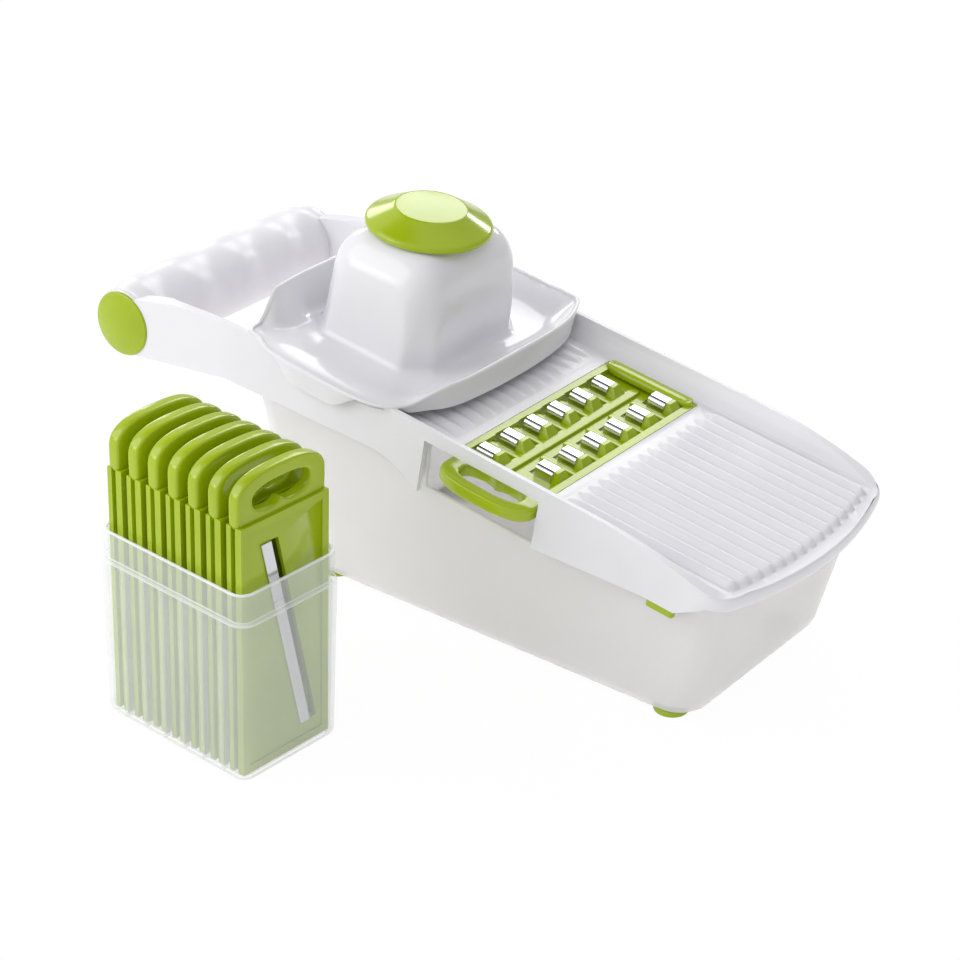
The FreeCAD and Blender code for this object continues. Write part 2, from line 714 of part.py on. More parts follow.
def add_grip(body):
    """A grip with four finger grooves between the arms, bored from end to end."""
    s = size
    reach = s.board_width / 2 - s.arm_width / 4
    quarter = s.finger_pitch / 4
    wave = rise_radius(quarter, s.finger_depth)
    path = [(0, -reach), (s.grip_radius, -reach), (s.grip_radius, quarter * -7)]
    for step in range(7):
        path.append((s.grip_radius, quarter * (2 * step - 5), wave, -1 if step % 2 == 0 else 1))
    path += [(s.grip_radius, reach), (0, reach)]
    profile = new_sketch(body, "GripProfile", "XY_Plane", (-s.grip_back, 0, -s.grip_drop))
    draw(profile, path)
    revolve(body, profile, "Grip", "V_Axis")
    bore = new_sketch(body, "GripBore", "XZ_Plane")
    draw_circle(bore, -s.grip_back, -s.grip_drop, s.grip_bore)
    pocket(body, bore, "GripBoreCut", both=True)


def make_board():
    """White moulded board with its runway, rails, skirts, handle arms and hollow wavy grip."""
    s = size
    body = new_body("slicer_board")
    side = draw(new_sketch(body, "BoardSide", "XZ_Plane"), board_side())
    pad(body, side, "BoardBlock", s.board_width, both=True)
    cut_board_plan(body)
    cut_runway(body)
    cut_insert_slot(body)
    add_ribs(body, "FrontRib", s.rib_start, s.rib_end, s.rib_height)
    add_ribs(body, "BackRib", -(s.deck_back - s.rib_taper), -s.rib_start, s.back_rib_height)
    add_grip(body)
    on_deck(body)


def make_handle_cap(label, side):
    """Green domed cap that plugs one end of the grip."""
    s = size
    face = s.board_width / 2
    rim = s.grip_end_radius
    plug = s.grip_bore / 2 - s.fit_gap
    body = new_body(label)
    path = [(0, face - s.cap_plug), (plug, face - s.cap_plug), (plug, face), (rim, face),
            (rim, face + s.cap_height / 3), (0, face + s.cap_height,
             rise_radius(rim, s.cap_height * 2 / 3), 1)]
    if side < 0:
        path = [(step[0], -step[1]) + ((step[2], -step[3]) if len(step) == 4 else ())
                for step in path]
    profile = new_sketch(body, "CapProfile", "XY_Plane", (-s.grip_back, 0, -s.grip_drop))
    draw(profile, path)
    revolve(body, profile, "Cap", "V_Axis")
    on_deck(body)


def make_board_pad(label, side):
    """Green pad under a front corner of the skirt, for use across a bowl or a table."""
    s = size
    half = s.board_width / 2
    body = new_body(label)
    width = s.board_wall + s.pad_overhang
    middle = side * (half - width / 2)
    plan = new_sketch(body, "PadPlan", "XY_Plane", (0, 0, -s.skirt_depth_front))
    back = s.skirt_front - s.skirt_step - s.pad_length
    draw(plan, rounded_rectangle(back, back + s.pad_length, middle - width / 2, middle + width / 2,
                                 width / 3))
    pad(body, plan, "Pad", s.pad_height, flip=True)
    on_deck(body)


# Blade inserts

def insert_sketch(body, name, depth, slot=None):
    """A sketch in the plan of an insert, at a depth below its top face. An insert lies flat in
    the board, or stands in a numbered slot of the case with its loop up."""
    s = size
    if slot is None:
        return new_sketch(body, name, "XY_Plane", (0, 0, -depth))
    top = s.case_pitch * slot + s.insert_thickness / 2
    return new_sketch(body, name, "YZ_Plane", (0, s.insert_far + s.case_floor, top - depth))


def insert_path(path, slot=None):
    """Turn a path of (across, up) steps, with up towards the loop, to an insert's sketch."""
    if slot is not None:
        return path
    return [(step[0], -step[1]) + ((step[2], -step[3]) if len(step) == 4 else ())
            for step in path]


def loop_outline():
    """Finger loop: a flat arch with round corners."""
    s = size
    base = s.insert_body - s.insert_far - s.rim_width
    tip = s.insert_body - s.insert_far + s.loop_length
    half, radius = s.loop_width / 2, s.loop_corner
    return [(-half, base), (half, base), (half, tip - radius), (half - radius, tip, radius, 1),
            (radius - half, tip), (-half, tip - radius, radius, 1)]


def finger_hole():
    """Finger hole: round ends, a straight outer side and three scallops on the inner side."""
    s = size
    tip = s.insert_body - s.insert_far + s.loop_length
    top = tip - s.loop_rim
    bottom = top - s.hole_height
    end = s.hole_height * 0.55
    half = s.loop_width / 2 - s.loop_rim - s.hole_height / 2
    third = 2 * half / 3
    path = [(half, bottom), (half, top, end, 1), (-half, top), (-half, bottom, end, 1)]
    for step in (1, 2):
        path.append((third * step - half, bottom, s.finger_scallop, 1))
    return [(half, bottom, s.finger_scallop, 1)] + path[1:]


def make_frame(label, drop, slot=None):
    """Green insert frame: side grooves, sunk plate, hollow underside and a finger loop."""
    s = size
    half, low = s.insert_width / 2, -s.insert_far
    high = s.insert_body - s.insert_far
    deep = s.insert_thickness
    body = new_body(label)

    def plan(name, depth, *paths):
        sketch = insert_sketch(body, name, depth, slot)
        for path in paths:
            draw(sketch, insert_path(path, slot))
        return sketch

    block = plan("FramePlan", deep, rectangle(-half, half, low, high))
    pad(body, block, "FrameBlock", deep)
    loop = plan("LoopPlan", deep - s.loop_bottom, loop_outline())
    pad(body, loop, "Loop", deep - s.loop_bottom - s.loop_top)
    hole = plan("FingerHole", 0, finger_hole())
    pocket(body, hole, "FingerHoleCut", both=True)
    grooves = plan("SideGrooves", s.groove_top,
                   rectangle(half - s.groove_depth, half + 1, low - 1, high + 1),
                   rectangle(-half - 1, s.groove_depth - half, low - 1, high + 1))
    pocket(body, grooves, "SideGrooveCut", s.groove_height)
    inside = rectangle(s.rim_width - half, half - s.rim_width,
                       low + s.rim_width, high - s.rim_width)
    top = plan("TopRecess", 0, inside)
    pocket(body, top, "TopRecessCut", drop)
    under = plan("Underside", deep, inside)
    pocket(body, under, "UndersideCut", deep - drop - s.plate_thickness, flip=True)
    return body, plan


def tooth_rows():
    """The two rows of grater teeth: name, u of the hood centre, and v of the first tooth."""
    s = size
    return [("Back", -s.tooth_row_back, -s.tooth_first),
            ("Front", s.tooth_row_front, s.tooth_pitch / 2 - s.tooth_first)]


TEETH_IN_ROW = 6


def make_grater_frame():
    """Frame of the coarse grater in the board: mouths, faceted ramps and a fence at the far end."""
    s = size
    body, plan = make_frame("grater_frame", s.plate_drop)
    fence = new_sketch(body, "Fence", "XY_Plane", (0, 0, -s.plate_drop))
    side = s.insert_width / 2 - s.rim_width / 2
    draw(fence, rounded_rectangle(-side, side, s.insert_far - s.rim_width * 1.4, s.insert_far,
                                  s.rim_width / 2))
    pad(body, fence, "FenceBar", s.plate_drop + s.fence_top)
    half_length, half_width = s.tooth_length / 2, s.tooth_width / 2
    for name, u, v in tooth_rows():
        mouth = new_sketch(body, name + "Mouth", "XY_Plane", (u, v, 0))
        inner = half_width - s.tooth_sheet
        draw(mouth, rectangle(-half_length - s.ramp_length / 2, half_length - s.ramp_length / 4,
                              -inner, inner))
        cut = pocket(body, mouth, name + "MouthCut", both=True)
        row(body, [cut], name + "Mouths", mouth, "V_Axis", TEETH_IN_ROW, s.tooth_pitch)
        base = new_sketch(body, name + "RampFoot", "XY_Plane", (u, v, -s.plate_drop))
        draw(base, rectangle(half_length, half_length + s.ramp_length, -half_width, half_width))
        crest = new_sketch(body, name + "RampCrest", "XY_Plane", (u, v, s.tooth_top))
        draw(crest, rectangle(half_length, half_length + s.ramp_length / 3,
                              -half_width * 0.6, half_width * 0.6))
        ramp = loft(body, "AdditiveLoft", name + "Ramp", [base, crest])
        row(body, [ramp], name + "Ramps", base, "V_Axis", TEETH_IN_ROW, s.tooth_pitch)
    on_deck(body)


def make_grater_teeth():
    """Twelve bent steel hoods that stand on the grater's plate with their mouths to the rear."""
    s = size
    body = new_body("grater_teeth")
    half, sheet_gap = s.tooth_width / 2, s.tooth_sheet
    low, high = -s.plate_drop, s.tooth_top
    for name, u, v in tooth_rows():
        hood = new_sketch(body, name + "Hood", "YZ_Plane", (v, 0, u - s.tooth_length / 2))
        draw(hood, [
            (-half, low), (sheet_gap - half, low), (sheet_gap - half, high - sheet_gap),
            (half - sheet_gap, high - sheet_gap), (half - sheet_gap, low), (half, low),
            (half, high), (-half, high),
        ])
        bend = pad(body, hood, name + "HoodBend", s.tooth_length)
        row(body, [bend], name + "Hoods", hood, "H_Axis", TEETH_IN_ROW, s.tooth_pitch)
    on_deck(body)


def strip(centre, width, slant, reach):
    """A slanting strip along an insert: upper end to the left, lower end to the right."""
    return [(centre - slant / 2 - width / 2, reach / 2), (centre + slant / 2 - width / 2, -reach / 2),
            (centre + slant / 2 + width / 2, -reach / 2), (centre - slant / 2 + width / 2, reach / 2)]


def crinkled_strip(width, reach):
    """A straight strip whose right edge is a row of waves."""
    s = size
    waves = int(s.blade_reach.value // s.wave_length.value)
    step = reach / waves
    bend = rise_radius(step / 4, s.wave_depth / 2)
    path = [(-width / 2, reach / 2), (-width / 2, -reach / 2), (width / 2, -reach / 2)]
    for half_wave in range(1, 2 * waves + 1):
        path.append((width / 2, step * half_wave / 2 - reach / 2, bend,
                     1 if half_wave % 2 else -1))
    return path


def make_blade_insert(name, slot, blade_path, throat_path, knife_pitch=None):
    """Spare slicing insert: a frame with a throat, its blade, and julienne knives if it has them."""
    s = size
    body, plan = make_frame(name + "_frame", s.blade_seat, slot)
    pocket(body, plan("Throat", 0, throat_path), "ThroatCut", both=True)
    in_case(body)

    blade = new_body(name + "_blade")
    flat = insert_sketch(blade, "BladePlan", s.blade_seat, slot)
    draw(flat, insert_path(blade_path, slot))
    pad(blade, flat, "Blade", s.blade_sheet)
    if knife_pitch is not None:
        count = 2 * int(s.blade_reach.value / 2 / knife_pitch.value) - 1
        first = knife_pitch * (count - 1) / 2
        left = s.blade_width / 2
        knife = insert_sketch(blade, "KnifePlan", s.blade_seat - s.blade_sheet, slot)
        draw(knife, rectangle(left, left + s.throat, -first - s.knife_sheet / 2,
                              s.knife_sheet / 2 - first))
        one = pad(blade, knife, "Knife", s.knife_depth, flip=True)
        row(blade, [one], "Knives", knife, "V_Axis", count, knife_pitch)
    in_case(blade)


def make_sheet_insert(name, slot, hole, pitch):
    """Spare grater insert: a frame with a window and a punched steel sheet on its ledge."""
    s = size
    drop = s.plate_drop
    body, plan = make_frame(name + "_frame", drop, slot)
    half, middle = s.insert_width / 2, s.insert_body / 2 - s.insert_far
    reach = s.insert_body / 2 - s.rim_width
    inset = s.rim_width + s.grater_ledge
    pocket(body, plan("Window", 0, rectangle(inset - half, half - inset,
                                             middle - reach + s.grater_ledge,
                                             middle + reach - s.grater_ledge)),
           "WindowCut", both=True)
    in_case(body)

    sheet_body = new_body(name + "_sheet")
    gap = s.rim_width + s.insert_gap
    flat = insert_sketch(sheet_body, "SheetPlan", drop, slot)
    draw(flat, rectangle(gap - half, half - gap, middle - reach + s.insert_gap,
                         middle + reach - s.insert_gap))
    pad(sheet_body, flat, "Sheet", s.grater_sheet)
    across = 2 * int((half.value - inset.value - hole.value / 2) / pitch.value) + 1
    along = 2 * int((reach.value - s.grater_ledge.value - hole.value / 2) / pitch.value) + 1
    punch = insert_sketch(sheet_body, "Punch", drop - s.grater_sheet, slot)
    draw_circle(punch, -pitch * (across - 1) / 2, middle - pitch * (along - 1) / 2, hole)
    holes = pocket(sheet_body, punch, "Hole", s.grater_sheet)
    grid = row(sheet_body, [holes], "Holes", punch, "V_Axis", along, pitch)
    grid.Direction2 = (punch, ["H_Axis"])
    grid.Mode2 = "Spacing"
    grid.Occurrences2 = across
    bind(grid, "Offset2", pitch)
    in_case(sheet_body)


def make_spare_inserts():
    """The seven spare inserts in the case, from its rear slot to its front slot."""
    s = size
    edge = (s.blade_width + s.throat) / 2
    thick_edge = (s.blade_width + s.thick_throat) / 2
    none = as_size(0)
    make_sheet_insert("fine_grater", -3, s.fine_hole, s.fine_hole_pitch)
    make_sheet_insert("coarse_grater", -2, s.coarse_hole, s.coarse_hole_pitch)
    for name, slot, pitch in (("fine_julienne", -1, s.fine_knife_pitch),
                              ("coarse_julienne", 0, s.coarse_knife_pitch)):
        make_blade_insert(name, slot, strip(none, s.blade_width, none, s.blade_reach),
                          strip(edge, s.throat, none, s.blade_reach), pitch)
    make_blade_insert("crinkle_slicer", 1, crinkled_strip(s.blade_width, s.blade_reach),
                      strip(edge + s.wave_depth, s.throat, none, s.blade_reach))
    make_blade_insert("thick_slicer", 2, strip(none, s.blade_width, s.blade_slant, s.blade_reach),
                      strip(thick_edge, s.thick_throat, s.blade_slant, s.blade_reach))
    make_blade_insert("thin_slicer", 3, strip(none, s.blade_width, s.blade_slant, s.blade_reach),
                      strip(edge, s.throat, s.blade_slant, s.blade_reach))


# Hand guard and pusher

def add_tray(body):
    """Tray of the guard: a dish between the rails, a flange that rides on them, a rim that rises
    to the rear and the front, and an ear outside each rail."""
    s = size
    half = s.tray_width / 2
    ride = s.rail_height + s.ride_gap
    outer = (-s.tray_back, s.tray_front, -half, half)
    flange = new_sketch(body, "Flange", "XY_Plane", (0, 0, ride))
    draw(flange, rounded_rectangle(*outer, s.tray_corner))
    pad(body, flange, "FlangePlate", s.tray_wall)

    wall = s.tray_wall
    inner = (wall - s.tray_back, s.tray_front - wall, wall - half, half - wall)
    rim = new_sketch(body, "Rim", "XY_Plane", (0, 0, ride))
    draw(rim, rounded_rectangle(*outer, s.tray_corner))
    draw(rim, rounded_rectangle(*inner, s.tray_corner - wall))
    pad(body, rim, "RimWall", s.tray_rim_back - ride)
    over = s.tray_rim_back + BEYOND
    sweep = rise_radius(s.tray_back, s.tray_rim_back - s.tray_rim_mid)
    lift = rise_radius(s.tray_front, s.tray_rim_front - s.tray_rim_mid)
    rim_cut = new_sketch(body, "RimLine", "XZ_Plane")
    draw(rim_cut, [
        (-s.tray_back, over), (-s.tray_back, s.tray_rim_back), (0, s.tray_rim_mid, sweep, 1),
        (s.tray_front, s.tray_rim_front, lift, 1), (s.tray_front + 1, s.tray_rim_front),
        (s.tray_front + 1, over),
    ])
    pocket(body, rim_cut, "RimLineCut", both=True)

    side, edge = half - s.dish_inset, s.dish_edge
    dish = new_sketch(body, "Dish", "XY_Plane", (0, 0, s.tray_floor))
    draw(dish, rounded_rectangle(edge - s.tray_back, s.tray_front - edge, -side, side,
                                 s.tray_corner))
    pad(body, dish, "DishBlock", ride + wall - s.tray_floor)
    hollow = new_sketch(body, "DishHollow", "XY_Plane", (0, 0, ride + wall))
    draw(hollow, rounded_rectangle(edge + wall - s.tray_back, s.tray_front - edge - wall,
                                   wall - side, side - wall, s.tray_corner - wall))
    pocket(body, hollow, "DishHollowCut", ride - s.tray_floor)

    reach, corner = s.ear_length / 2, s.ear_corner
    ear = new_sketch(body, "Ear", "XZ_Plane", (0, 0, half - wall))
    draw(ear, [
        (-reach, ride), (-reach, corner - s.ear_drop), (corner - reach, -s.ear_drop, corner, 1),
        (reach - corner, -s.ear_drop), (reach, corner - s.ear_drop, corner, 1), (reach, ride),
    ])
    one = pad(body, ear, "RightEar", wall)
    plane = new_sketch(body, "MirrorLine", "XY_Plane")
    mirror(body, [one], "LeftEar", plane, "H_Axis")


def dome_sections(body, name, inset, top):
    """Outlines of the dome from its foot to its shoulder, moved inwards by inset."""
    s = size
    foot = s.tray_floor
    rise = s.dome_top - foot
    shape = [(0.0, 0.0), (0.3, 0.8), (0.62, 2.6), (0.88, 6.0), (1.0, 12.0)]
    sketches = []
    for number, (share, draw_in) in enumerate(shape):
        height = foot + rise * share if share < 1 else top
        if number == 0 and inset.value > 0:
            height = foot - 1
        sketch = new_sketch(body, "%s%d" % (name, number), "XY_Plane", (0, 0, height))
        half_x = s.dome_length / 2 - draw_in - inset
        half_y = s.dome_width / 2 - draw_in * 1.15 - inset
        sketches.append(draw(sketch, octagon(half_x, half_y, s.dome_chamfer - inset * 0.6)))
    return sketches


def make_guard():
    """White hand guard: the tray and the hollow dome with a collar for the pusher stem."""
    s = size
    body = new_body("guard_body")
    add_tray(body)
    loft(body, "AdditiveLoft", "Dome", dome_sections(body, "Dome", as_size(0), s.dome_top),
         ruled=False)
    inside = s.dome_top - s.dome_wall
    loft(body, "SubtractiveLoft", "DomeHollow",
         dome_sections(body, "DomeHollow", s.dome_wall, inside), ruled=False)
    bore = s.stem_diameter + 2 * s.stem_gap
    collar = new_sketch(body, "Collar", "XY_Plane", (0, 0, inside))
    draw_circle(collar, 0, 0, bore + 2 * s.collar_wall)
    pad(body, collar, "CollarTube", s.collar_length, flip=True)
    hole = new_sketch(body, "StemBore", "XY_Plane", (0, 0, s.dome_top))
    draw_circle(hole, 0, 0, bore)
    pocket(body, hole, "StemBoreCut", s.dome_wall + s.collar_length)
    on_deck(body, -s.guard_back)


def make_knob():
    """Green knob and its stem."""
    s = size
    base = s.dome_top + s.knob_gap
    top = base + s.knob_height
    stem, rim, flat = s.stem_diameter / 2, s.knob_diameter / 2, s.knob_flat / 2
    foot = s.pusher_bottom + s.pusher_plate
    body = new_body("guard_knob")
    profile = new_sketch(body, "KnobProfile", "XZ_Plane")
    draw(profile, [
        (0, foot), (stem, foot), (stem, base), (rim - s.knob_rim / 2, base),
        (rim, base + s.knob_rim / 2, s.knob_rim / 2, 1), (rim, base + s.knob_rim),
        (flat, top, s.knob_diameter, 1), (0, top),
    ])
    revolve(body, profile, "Knob", "V_Axis")
    on_deck(body, -s.guard_back)


def make_pusher():
    """White pusher plate on the stem, and the steel pins that hold the food."""
    s = size
    body = new_body("pusher_plate")
    plan = new_sketch(body, "PlatePlan", "XY_Plane", (0, 0, s.pusher_bottom))
    draw_circle(plan, 0, 0, s.pusher_diameter)
    pad(body, plan, "Plate", s.pusher_plate)
    on_deck(body, -s.guard_back)

    pins = new_body("food_pins")
    half = s.pin_diameter / 2
    tip = s.pusher_bottom - s.pin_length
    for name, radius, count in (("Centre", as_size(0), 1), ("Inner", s.pin_ring_inner, 6),
                                ("Outer", s.pin_ring_outer, 12)):
        pin = new_sketch(pins, name + "Pin", "XZ_Plane", (radius, 0, 0))
        draw(pin, [(0, tip), (half, tip + s.pin_diameter), (half, s.pusher_bottom),
                   (0, s.pusher_bottom)])
        one = revolve(pins, pin, name + "Spike", "V_Axis")
        if count > 1:
            middle = new_sketch(pins, name + "Middle", "XY_Plane")
            ring(pins, [one], name + "Ring", middle, "N_Axis", count)
    on_deck(pins, -s.guard_back)


# Catch container

def make_container():
    """Frosted wedge-shaped catch container with a sloping rim and a notch under the insert."""
    s = size
    body = new_body("catch_container")
    low = (s.foot_height, -s.tub_back_low, s.tub_front_low, s.tub_width_low / 2)
    high = (s.tub_top, -s.tub_back_high, s.tub_front_high, s.tub_width_high / 2)
    round_bottomed(body, "AdditiveLoft", "Walls", low, high, s.tub_corner, s.tub_bottom_round)
    wall = s.tub_wall
    inner_low, inner_high = [
        (z + wall, back + wall, front - wall, half - wall) for z, back, front, half in (low, high)]
    round_bottomed(body, "SubtractiveLoft", "Hollow", inner_low, inner_high,
                   s.tub_corner - wall, s.tub_bottom_round - wall)

    rim = -(s.deck_thickness + s.seat_gap)
    back, front = -s.deck_back - BEYOND, s.deck_front + BEYOND
    slope = new_sketch(body, "RimSlope", "XZ_Plane")
    draw(slope, [deck_point(back, rim), deck_point(front, rim),
                 deck_point(front, s.tub_top), deck_point(back, s.tub_top)])
    pocket(body, slope, "RimCut", both=True)

    notch = new_sketch(body, "InsertNotch", "XZ_Plane", (0, 0, s.board_width / 2))
    low = -s.flare_depth
    draw(notch, [deck_point(-s.slot_back, low), deck_point(s.slot_front, low),
                 deck_point(s.slot_front, BEYOND), deck_point(-s.slot_back, BEYOND)])
    pocket(body, notch, "InsertNotchCut", s.board_width / 2)
    on_table(body)


def make_feet():
    """Four round green feet under the container."""
    s = size
    for label, ahead, left in (("foot_front_right", s.foot_front, -s.foot_spread / 2),
                               ("foot_front_left", s.foot_front, s.foot_spread / 2),
                               ("foot_rear_right", -s.foot_back, -s.foot_spread / 2),
                               ("foot_rear_left", -s.foot_back, s.foot_spread / 2)):
        body = new_body(label)
        plan = new_sketch(body, "FootPlan", "XY_Plane")
        draw_circle(plan, 0, 0, s.foot_diameter)
        disc = pad(body, plan, "Foot", s.foot_height)
        round_edges(body, "FootEdge", disc, s.foot_height / 4, edge_at_height(0))
        on_table(body, ahead, left)


# Storage case

def make_case():
    """Frosted case with a ledge, a stepped rim and ribs that keep the spare inserts apart."""
    s = size
    body = new_body("storage_case")
    low = (as_size(0), -s.case_length_low / 2, s.case_length_low / 2, s.case_width_low / 2)
    high = (s.case_ledge, -s.case_length_high / 2, s.case_length_high / 2, s.case_width_high / 2)
    round_bottomed(body, "AdditiveLoft", "Walls", low, high, s.case_corner, s.case_floor)

    half_x = s.case_length_high / 2 - s.case_rim_inset
    half_y = s.case_width_high / 2 - s.case_rim_inset
    radius = s.case_corner - s.case_rim_inset
    rim = new_sketch(body, "Rim", "XY_Plane", (0, 0, s.case_ledge))
    draw(rim, rounded_rectangle(-half_x, half_x, -half_y, half_y, radius))
    pad(body, rim, "RimWall", s.case_height - s.case_ledge)
    inner_x, inner_y = half_x - s.case_wall, half_y - s.case_wall
    hollow = new_sketch(body, "Hollow", "XY_Plane", (0, 0, s.case_height))
    draw(hollow, rounded_rectangle(-inner_x, inner_x, -inner_y, inner_y, radius - s.case_wall))
    pocket(body, hollow, "HollowCut", s.case_height - s.case_floor)

    first = s.case_pitch * (SPARE_GAPS - 1) / 2
    divider = new_sketch(body, "Divider", "XY_Plane", (-first, 0, s.case_floor))
    thin = s.divider_thickness / 2
    for sign in (1, -1):
        draw(divider, rectangle(-thin, thin, sign * inner_y, sign * (inner_y - s.divider_depth)))
    pair = pad(body, divider, "DividerPair", s.divider_top - s.case_floor)
    row(body, [pair], "Dividers", divider, "H_Axis", SPARE_GAPS, s.case_pitch)
    in_case(body)


def check_features():
    """Stop if anything failed, or if a cut took nothing away."""
    for item in doc.Objects:
        if "Invalid" in item.State or "Error" in item.State:
            raise RuntimeError("%s failed: %s" % (item.Label, item.State))
        if item.TypeId == "PartDesign::Pocket" and item.BaseFeature is not None:
            if item.Shape.Volume > item.BaseFeature.Shape.Volume - 0.01:
                raise RuntimeError("%s cuts nothing" % item.Name)


def write_parts():
    """Write each sub-part to its own file."""
    os.makedirs("parts", exist_ok=True)
    for body in doc.findObjects("PartDesign::Body"):
        shape = body.Shape
        if shape.isNull() or not shape.isValid() or not shape.Solids:
            raise RuntimeError("%s has no valid solid" % body.Label)
        shape.exportStep("parts/%s.step" % body.Label)
        print("%-24s %2d solids %10.1f mm3" % (body.Label, len(shape.Solids), shape.Volume))


make_board()
make_handle_cap("handle_cap_right", -1)
make_handle_cap("handle_cap_left", 1)
make_board_pad("board_pad_right", -1)
make_board_pad("board_pad_left", 1)
make_grater_frame()
make_grater_teeth()
make_guard()
make_knob()
make_pusher()
make_container()
make_feet()
make_case()
make_spare_inserts()
doc.recompute()
check_features()
write_parts()
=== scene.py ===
"""Looks of the mandoline slicer set: white board and hand guard, green inserts, frosted tubs.

Lengths are millimetres until a mesh is written, and metres in Blender. Deck coordinates are u forward
along the board, v to the left and w square to the board, counted from the foot of the knob's axis.
"""
import json
import math

import bmesh
import bpy
import numpy as np
from mathutils import Matrix, Vector


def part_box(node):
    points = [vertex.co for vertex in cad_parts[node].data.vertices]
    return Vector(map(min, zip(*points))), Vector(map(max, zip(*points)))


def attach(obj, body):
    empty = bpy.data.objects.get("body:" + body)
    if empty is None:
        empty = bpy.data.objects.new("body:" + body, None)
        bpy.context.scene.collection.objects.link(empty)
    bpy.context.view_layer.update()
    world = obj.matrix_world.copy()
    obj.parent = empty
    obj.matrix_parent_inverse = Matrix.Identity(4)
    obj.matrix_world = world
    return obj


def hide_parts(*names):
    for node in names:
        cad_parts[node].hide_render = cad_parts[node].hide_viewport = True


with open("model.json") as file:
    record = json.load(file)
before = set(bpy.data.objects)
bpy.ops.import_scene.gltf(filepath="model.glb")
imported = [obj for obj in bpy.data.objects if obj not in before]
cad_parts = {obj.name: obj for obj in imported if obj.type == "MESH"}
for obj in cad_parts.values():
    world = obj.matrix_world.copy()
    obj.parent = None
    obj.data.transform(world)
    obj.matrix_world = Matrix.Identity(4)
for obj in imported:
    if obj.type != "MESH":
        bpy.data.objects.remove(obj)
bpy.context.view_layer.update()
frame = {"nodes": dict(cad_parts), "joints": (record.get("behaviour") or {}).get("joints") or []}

MM = 0.001
QUARTER, FULL_TURN = math.pi / 2, 2 * math.pi
SPARES = ("fine_grater", "coarse_grater", "fine_julienne", "coarse_julienne", "crinkle_slicer",
          "thick_slicer", "thin_slicer")

# Points closer than these lengths become one. Faces flatter than an angle in degrees are joined, and
# edges sharper than an angle are rounded in a solid and stay sharp in a new surface.
SOLID_MERGE, SURFACE_MERGE = 0.002, 0.001
FLAT_ANGLE = 0.6
SOLID_CREASE, SURFACE_CREASE, CASE_CREASE = 32, 50, 40

# Camera of the photo: angles in degrees, the distance from its target, and a focal length in pixels
PHOTO_SIDE = 960
CAMERA_AZIMUTH = 36.0
CAMERA_ELEVATION = 28.16
CAMERA_ROLL = 2.01
CAMERA_DISTANCE = 1063.4
CAMERA_TARGET = (13.15, 38.1, 55.2)
CAMERA_FOCAL_PIXELS = 2645.67
SENSOR = 36.0

# Light of the studio: the side to which the sky brightens and its range, and a dark flag in the sky
FILL_SIDE = (-0.36, -0.32, 0.88)
FILL_DIM, FILL_BRIGHT = 0.25, 1.06
FILL_FROM, FILL_TO = -0.5, 1.0
FLAG_SIDE = (-0.33, 0.2, 0.92)
FLAG_EDGE, FLAG_INSIDE, FLAG_LEVEL = 0.92, 0.96, 0.05
# Floor, in metres, with the light that it gives back and the share of it that shows as a white page
FLOOR_HALF = 6.0
PAGE_GLOW = 0.28
PAGE_SHARE = 0.94
# Lamps: place, aim and side in metres, and watts
LAMPS = {
    "key": ((-0.75, -0.85, 0.85), (0, 0, 0.06), 1.0, 6.2),
    "rear_window": ((-0.38, 0.88, 0.78), (0, 0.05, 0.1), 0.55, 3.7),
    "left_window": ((-1.05, 0.63, 0.58), (-0.04, 0.06, 0.14), 0.35, 1.6),
    "far_window": ((-0.08, 1.3, 0.56), (-0.04, 0.06, 0.14), 0.2, 1.3),
    "near_window": ((-0.75, -1.0, 0.38), (-0.12, 0, 0.1), 0.28, 0.8),
}

# Patterns of the finishes. A mould's cooling zones are some centimetres wide. The skin of a moulding
# and the lines of rolled steel are really much finer, and are drawn as coarse as they need to show.
NOISE_LOW, NOISE_HIGH = 0.3, 0.7
MELT_DRIFT = 38.0
SKIN_GRAIN, SKIN_DENT, SKIN_STRENGTH = 1.6, 0.02, 0.12
GLOSS_BELOW, GLOSS_ABOVE = 0.02, 0.03
ROLL_LINE, ROLL_STRETCH, ROLL_DENT, ROLL_STRENGTH = 0.5, 0.08, 0.01, 0.08
STEEL_BRIGHT, STEEL_DULL = 0.1, 0.2
SCATTER_DEPTH, SCATTER_TINT = 4.0, (1.0, 0.97, 0.95)

# Hand guard, from the foot of the knob's axis on the runway
AROUND = 320
PLATE_MIDDLE = 13.5
TRAY_FRONT, TRAY_BACK, TRAY_HALF, TRAY_FAR = 49.0, 41.0, 68.0, 65.0
TRAY_SQUARENESS = 4.2
TRAY_WALL = 1.9
FLARE, FRONT_BULGE, FLARE_POWER = 2.8, 1.6, 3
# Angle and length of the pointed corners, and of the waist of the front edge
FAR_TIP, NEAR_TIP, TIP_SPREAD = (math.radians(57), 1.6), (math.radians(237), 5.0), 0.07
WAIST, WAIST_SPREAD = (math.radians(-50), -3.2), 0.16
DISH_FLOOR, FLANGE, FLANGE_FADE = 6.8, 10.0, (40.0, TRAY_HALF - 4.0)
# Heights of the rim, and where they change: across the tray, and along it at the rear and the front
RIM_BACK, RIM_SIDE, RIM_NEAR, RIM_FRONT = 22.5, 11.8, 8.6, 15.0
SIDE_FADE, WALL_FADE, CORNER_FADE = (-40.0, 30.0), (44.0, 53.0), (-56.0, -36.0)
REAR_FADE, FRONT_FADE = (20.0, TRAY_BACK - 4.0), (16.0, TRAY_FRONT - 6.0)
RIM_RISE, RIM_BOWL = 14.0, 1.9
